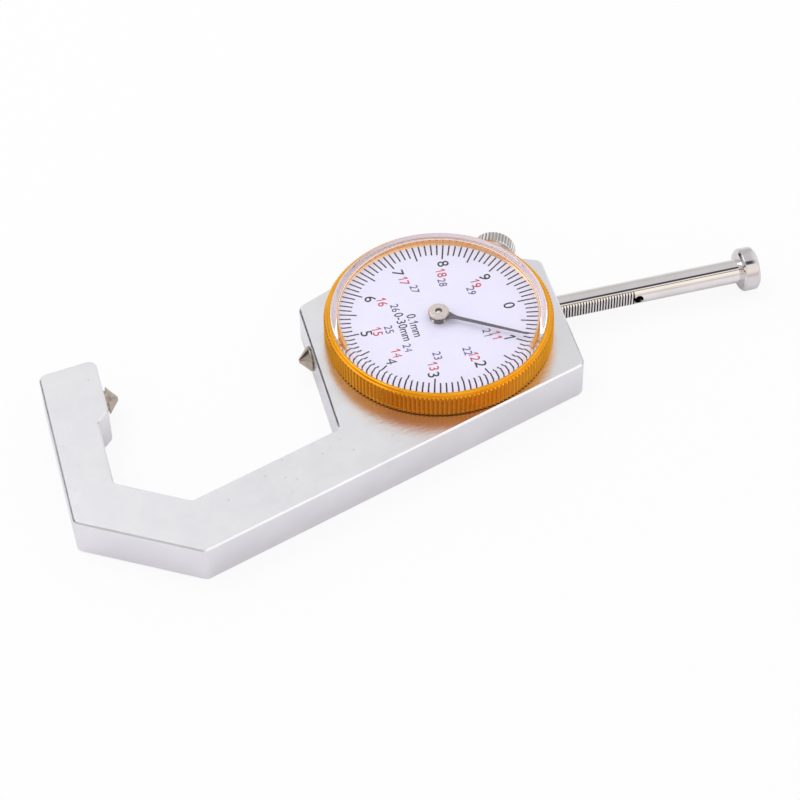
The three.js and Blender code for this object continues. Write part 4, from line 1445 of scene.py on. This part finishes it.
mm_a_turn = 10
nudges = {
    0: (-0.39, -0.44),
    3: (-0.36, -0.22),
    5: (0, -0.2),
    6: (0.22, -0.06),
    8: (0.22, 0.07),
    9: (-0.09, -0.34),
    11: (-0.3, -0.23),
    12: (0.09, -0.16),
    13: (-0.55, -0.39),
    14: (-0.41, 0.23),
    15: (-0.26, -0.28),
    16: (0.25, -0.07),
    17: (-0.16, -0.09),
    19: (-0.28, -0.15),
    21: (0.04, -0.47),
    22: (-0.04, -0.54),
    23: (0.08, -0.2),
    24: (0.03, -0.26),
    25: (-0.26, -0.34),
    26: (0.38, -0.8),
    27: (0.46, -0.5),
    28: (0.19, -0.28),
    29: (0.13, -0.4),
}


def around_dial(first, last, radius):
    """The numbers from first to last, each near its own tenth of the dial, with its own small nudge."""
    words = []
    for number in range(first, last + 1):
        swing = -2 * math.pi * number / mm_a_turn
        aside, up = nudges.get(number, (0, 0))
        x = radius * math.cos(swing) + aside * mm
        y = radius * math.sin(swing) + up * mm
        words.append((str(number), x, y))
    return words


figure_rings = [
    ("figures_black", 0, 9, 12.5, 1.95, 1.02, ink_black),
    ("figures_red", 11, 19, 10.4, 1.65, 0.92, ink_red),
    ("figures_violet", 21, 29, 8.4, 1.4, 0.92, ink_violet),
]
for name, first, last, radius, height, narrow, ink in figure_rings:
    printed(name, around_dial(first, last, radius * mm), height * mm, narrow, ink)
unit_words = [("0.1mm", -4.31 * mm, -0.58 * mm), ("0-30mm", -6.25 * mm, -0.35 * mm)]
printed("figures_units", unit_words, height=1.55 * mm, narrow=0.9, ink=ink_black)

# %% [markdown]
# The crystal
#
# The crystal is a clear moulded cup that stands a little above the gold ring. Its flat top shows the dial
# almost undisturbed, while its rounded edge and thick rim bend the outer marks and catch the ring's
# colour. Only real refraction does that, so the cup is a closed solid with its true wall, and its
# material is real clear plastic.

# %% Turn the crystal
crystal_low, crystal_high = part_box("crystal")
crystal_radius = (crystal_high.x - crystal_low.x) / 2
crystal_rim = 1.0 * mm
crystal_wall = 1.1 * mm
crystal_round = 1.0 * mm
crystal_hollow = 0.7 * mm
crystal_foot_soft = 0.03 * mm
underside = crystal_high.z - crystal_wall
crystal_line = [
    (0, underside, 0),
    (crystal_radius - crystal_rim, underside, crystal_hollow),
    (crystal_radius - crystal_rim, crystal_low.z, crystal_foot_soft),
    (crystal_radius, crystal_low.z, crystal_foot_soft),
    (crystal_radius, crystal_high.z, crystal_round),
    (0, crystal_high.z, 0),
]
crystal = turned("clear_crystal_cup", rounded(crystal_line, steps=12, loop=False), segments=256)
smooth(crystal)
dress(crystal, "bezel", crystal_clear, "clear_crystal", "crystal")

# %% [markdown]
# The hub and the needle
#
# The hub is a small turned barrel under a wider nickel cap with a deep shoulder, and the needle is thin
# sheet under the cap. The cap has a hole, whose wall gets painted shade, because so small a hole is
# darker than the room would make it.

# %% Turn the hub's cap
hub_low, hub_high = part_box("pointer_hub")
hub_cap_radius = (hub_high.x - hub_low.x) / 2
hub_bore = 0.58 * mm
hub_rise = 0.25 * mm
cap_face_radius = 1.6 * mm
cap_top = hub_high.z + hub_rise
cap_edge = cap_top - 0.26 * mm
cap_bottom = cap_top - 0.42 * mm
bore_shade = 1.3
cap_line = [
    (hub_bore, cap_bottom, 0),
    (hub_cap_radius, cap_bottom, 0.05 * mm),
    (hub_cap_radius, cap_edge, 0.06 * mm),
    (cap_face_radius, cap_top, 0.08 * mm),
    (hub_bore, cap_top, 0.04 * mm),
]
cap = turned("pointer_hub_cap", rounded(cap_line, steps=5), loop=True)
smooth(cap)


def cap_groove(corner, normal):
    """The wall of the hole in the cap, which gets painted shade."""
    in_bore = math.hypot(corner.x, corner.y) < hub_bore + 2 * hair
    return bore_shade if in_bore and upright(normal) else 0


store(cap, "painted_light", cap_groove)
dress(cap, "pointer", nickel, "nickel", "pointer_hub")

# %% [markdown]
# The barrel is blackened, and four narrow upright strips round it carry a painted highlight. They are
# drawn in the light colour that its finish keeps for painted marks. The barrel is blackened but for
# four bright flats. They are too small to show as shape, so they are drawn by the light colour that
# the finish puts in its grooves.

# %% Turn the hub's barrel
hub_radius = 1.5 * mm
barrel_foot = dial_top + 0.02 * mm
highlight_turn = 31
highlight_spread = 17
highlight_apart = 90
highlight_strength = 1.8
barrel_line = [
    (hub_bore, barrel_foot, 0),
    (hub_radius, barrel_foot, 0.05 * mm),
    (hub_radius, cap_bottom, 0),
    (hub_bore, cap_bottom, 0),
]
barrel = turned("pointer_hub_barrel", rounded(barrel_line, steps=3), loop=True)
smooth(barrel)


def barrel_flat(corner, normal):
    """One on the four strips of painted highlight round the barrel, and nought between them."""
    swing = math.degrees(math.atan2(corner.y, corner.x)) - highlight_turn
    off = abs((swing + highlight_apart / 2) % highlight_apart - highlight_apart / 2)
    return highlight_strength * (1 - off / highlight_spread) if upright(normal) else 0


store(barrel, "painted_light", barrel_flat)
dress(barrel, "pointer", barrel_dark, "nickel")

# %% [markdown]
# The end of the arbor stands a little below the cap's face. The arbor keeps the shape of its plain node,
# teeth and all, so its mesh is copied and only its upper end is moved.

# %% Raise the arbor's end
arbor_sink = 0.22 * mm
arbor_end = 0.25 * mm
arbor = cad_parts["pinion_arbor"].data.copy()
work = bmesh.new()
work.from_mesh(arbor)
bmesh.ops.remove_doubles(work, verts=work.verts, dist=same_place)
arbor_top = max(corner.co.z for corner in work.verts)
for corner in work.verts:
    if corner.co.z > arbor_top - arbor_end:
        corner.co.z += cap_top - arbor_sink - arbor_top
work.to_mesh(arbor)
work.free()
arbor_piece = into_scene(bpy.data.objects.new("pinion_arbor_turned", arbor))
smooth(arbor_piece)
dress(arbor_piece, "pointer", nickel, "movement_steel", "pinion_arbor")
print("arbor top:", round(arbor_top / mm, 3), "cap top:", round(cap_top / mm, 3))

# %% [markdown]
# The needle's outline is a ring round the barrel and an arm. The arm stays nearly as wide as it starts
# for half of its length, and then draws in to the point, so its width is read from a short table of
# radius and width.

# %% Cut the needle
needle_low, needle_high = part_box("pointer_needle")
reading = 0.92
needle_turn = -2 * math.pi * reading / mm_a_turn
needle_ring = 1.75 * mm
needle_root_width = 1.9 * mm
needle_widths = [
    (2.3, 1.25),
    (2.8, 0.9),
    (3.3, 0.72),
    (4.5, 0.66),
    (7.5, 0.62),
    (11.8, 0.48),
    (13.8, 0.45),
    (15.1, 0.33),
    (15.65, 0.06),
]
needle_steps = 24
needle_inset = 0.05 * mm
needle_soft = 0.03 * mm


def needle_outline():
    """The arm's edge from the root to the point and back, then round the ring."""
    start = math.sqrt(needle_ring**2 - (needle_root_width / 2) ** 2)
    edge = [(start, needle_root_width / 2)]
    edge += [(radius * mm, width * mm / 2) for radius, width in needle_widths]
    round_angle = math.asin(needle_root_width / 2 / needle_ring)
    back = []
    for step in range(1, needle_steps):
        swing = round_angle + (2 * math.pi - 2 * round_angle) * step / needle_steps
        back.append((needle_ring * math.cos(swing), needle_ring * math.sin(swing)))
    return [(x, -y) for x, y in edge] + [(x, y) for x, y in reversed(edge)] + back


needle_line = [
    (needle_inset, needle_low.z, 0),
    (0, needle_low.z, needle_soft),
    (0, needle_high.z, needle_soft),
    (needle_inset, needle_high.z, 0),
]
needle_profile = rounded(needle_line, steps=3, loop=False)
needle = stacked("pointer_needle_dark", needle_outline(), needle_profile)
hub_gap = 0.05 * mm
cut(needle, drill(hub_radius + hub_gap, needle_low.z - overrun, needle_high.z + overrun))
put(needle, Matrix.Rotation(needle_turn, 4, "Z"))
smooth(needle)
dress(needle, "pointer", needle_dark, "needle_paint", "pointer_needle")

# %% [markdown]
# The lock screw
#
# A knurled thumb screw stands out of the right shoulder and clamps the rod through a small pad. Its head
# uses the same knurling tree as the gold ring, with fewer and wider grooves.

# %% Turn and knurl the lock screw
lock_reach = 3.6 * mm
lock_head_radius = 3.7 * mm
lock_head_length = 2.25 * mm
lock_head_chamfer = 0.3 * mm
lock_shank_radius = 1.4 * mm
lock_ridges = 36
lock_groove_depth = 0.24 * mm
pad_radius = 1.2 * mm
pad_length = 1.6 * mm
pad_gap = 0.35 * mm
pad_pin_length = 0.5 * mm
pad_play = 0.05 * mm
pin_hole_radius = 0.7 * mm
lock_soft = 0.1 * mm
nose_stand_off = (rod_radius + pad_radius) / math.cos(shoulder_slope)
nose_centre = -(lock_depth - nose_stand_off - pad_gap)
shank_bottom = nose_centre + pad_length + pad_play
pin_hole_top = shank_bottom + pad_pin_length + pad_play
head_top = lock_reach + lock_head_length
screw_line = [
    (0, pin_hole_top, 0),
    (pin_hole_radius, pin_hole_top, 0),
    (pin_hole_radius, shank_bottom, 0),
    (lock_shank_radius, shank_bottom, lock_soft),
    (lock_shank_radius, lock_reach, lock_soft),
    (lock_head_radius - lock_head_chamfer, lock_reach, lock_soft),
    (lock_head_radius + outside, lock_reach + lock_head_chamfer + outside, 0),
    (lock_head_radius + outside, head_top - lock_head_chamfer - outside, 0),
    (lock_head_radius - lock_head_chamfer, head_top, lock_soft),
    (0, head_top, 0),
]
lock_screw = turned("lock_thumb_screw", rounded(screw_line, steps=4, loop=False), segments=144)
lock_values = {
    "Ridges": lock_ridges,
    "Ridge radius": lock_head_radius,
    "Groove depth": lock_groove_depth,
    "Fullness": 1.0,
    "Bottom": shank_bottom - overrun,
    "Height": head_top - shank_bottom + 2 * overrun,
    "Points a ridge": 8,
    "Material": screw_steel,
}
run_tree(lock_screw, knurl, lock_values)


# The head's grooves get painted shade, darker where they are deeper.
def lock_groove(corner, normal):
    """The grooves of the head's wall, which get painted shade."""
    on_head = corner.z > lock_reach
    return groove_share(corner, normal, lock_head_radius, lock_groove_depth) if on_head else 0


store(lock_screw, "painted_light", lock_groove)
put(lock_screw, onto_lock_line)
smooth(lock_screw, crease=25)
dress(lock_screw, "lock_thumbscrew", screw_steel, "nickel", "lock_screw")

# %% [markdown]
# The inner pieces
#
# Only the arbor's end shows of the movement while the gauge is whole, so its other nodes keep their own
# shapes and get the metals that such works are made of.

# %% Give the inner pieces their metals
inner_metals = [
    (brass, ["pinion_bush", "hairspring_collet", "hairspring_stud"]),
    (brass, ["movement_bridge", "bezel_retainer", "lock_pad"]),
    (blued, ["hairspring", "bezel_spring"]),
    (works_steel, ["bridge_screw_1", "bridge_screw_2"]),
    (works_steel, ["retainer_screw_1", "retainer_screw_2", "retainer_screw_3"]),
]
for finish, names in inner_metals:
    for name in names:
        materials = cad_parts[name].data.materials
        materials.clear()
        materials.append(finish)
    print(finish.name, "on", ", ".join(names))
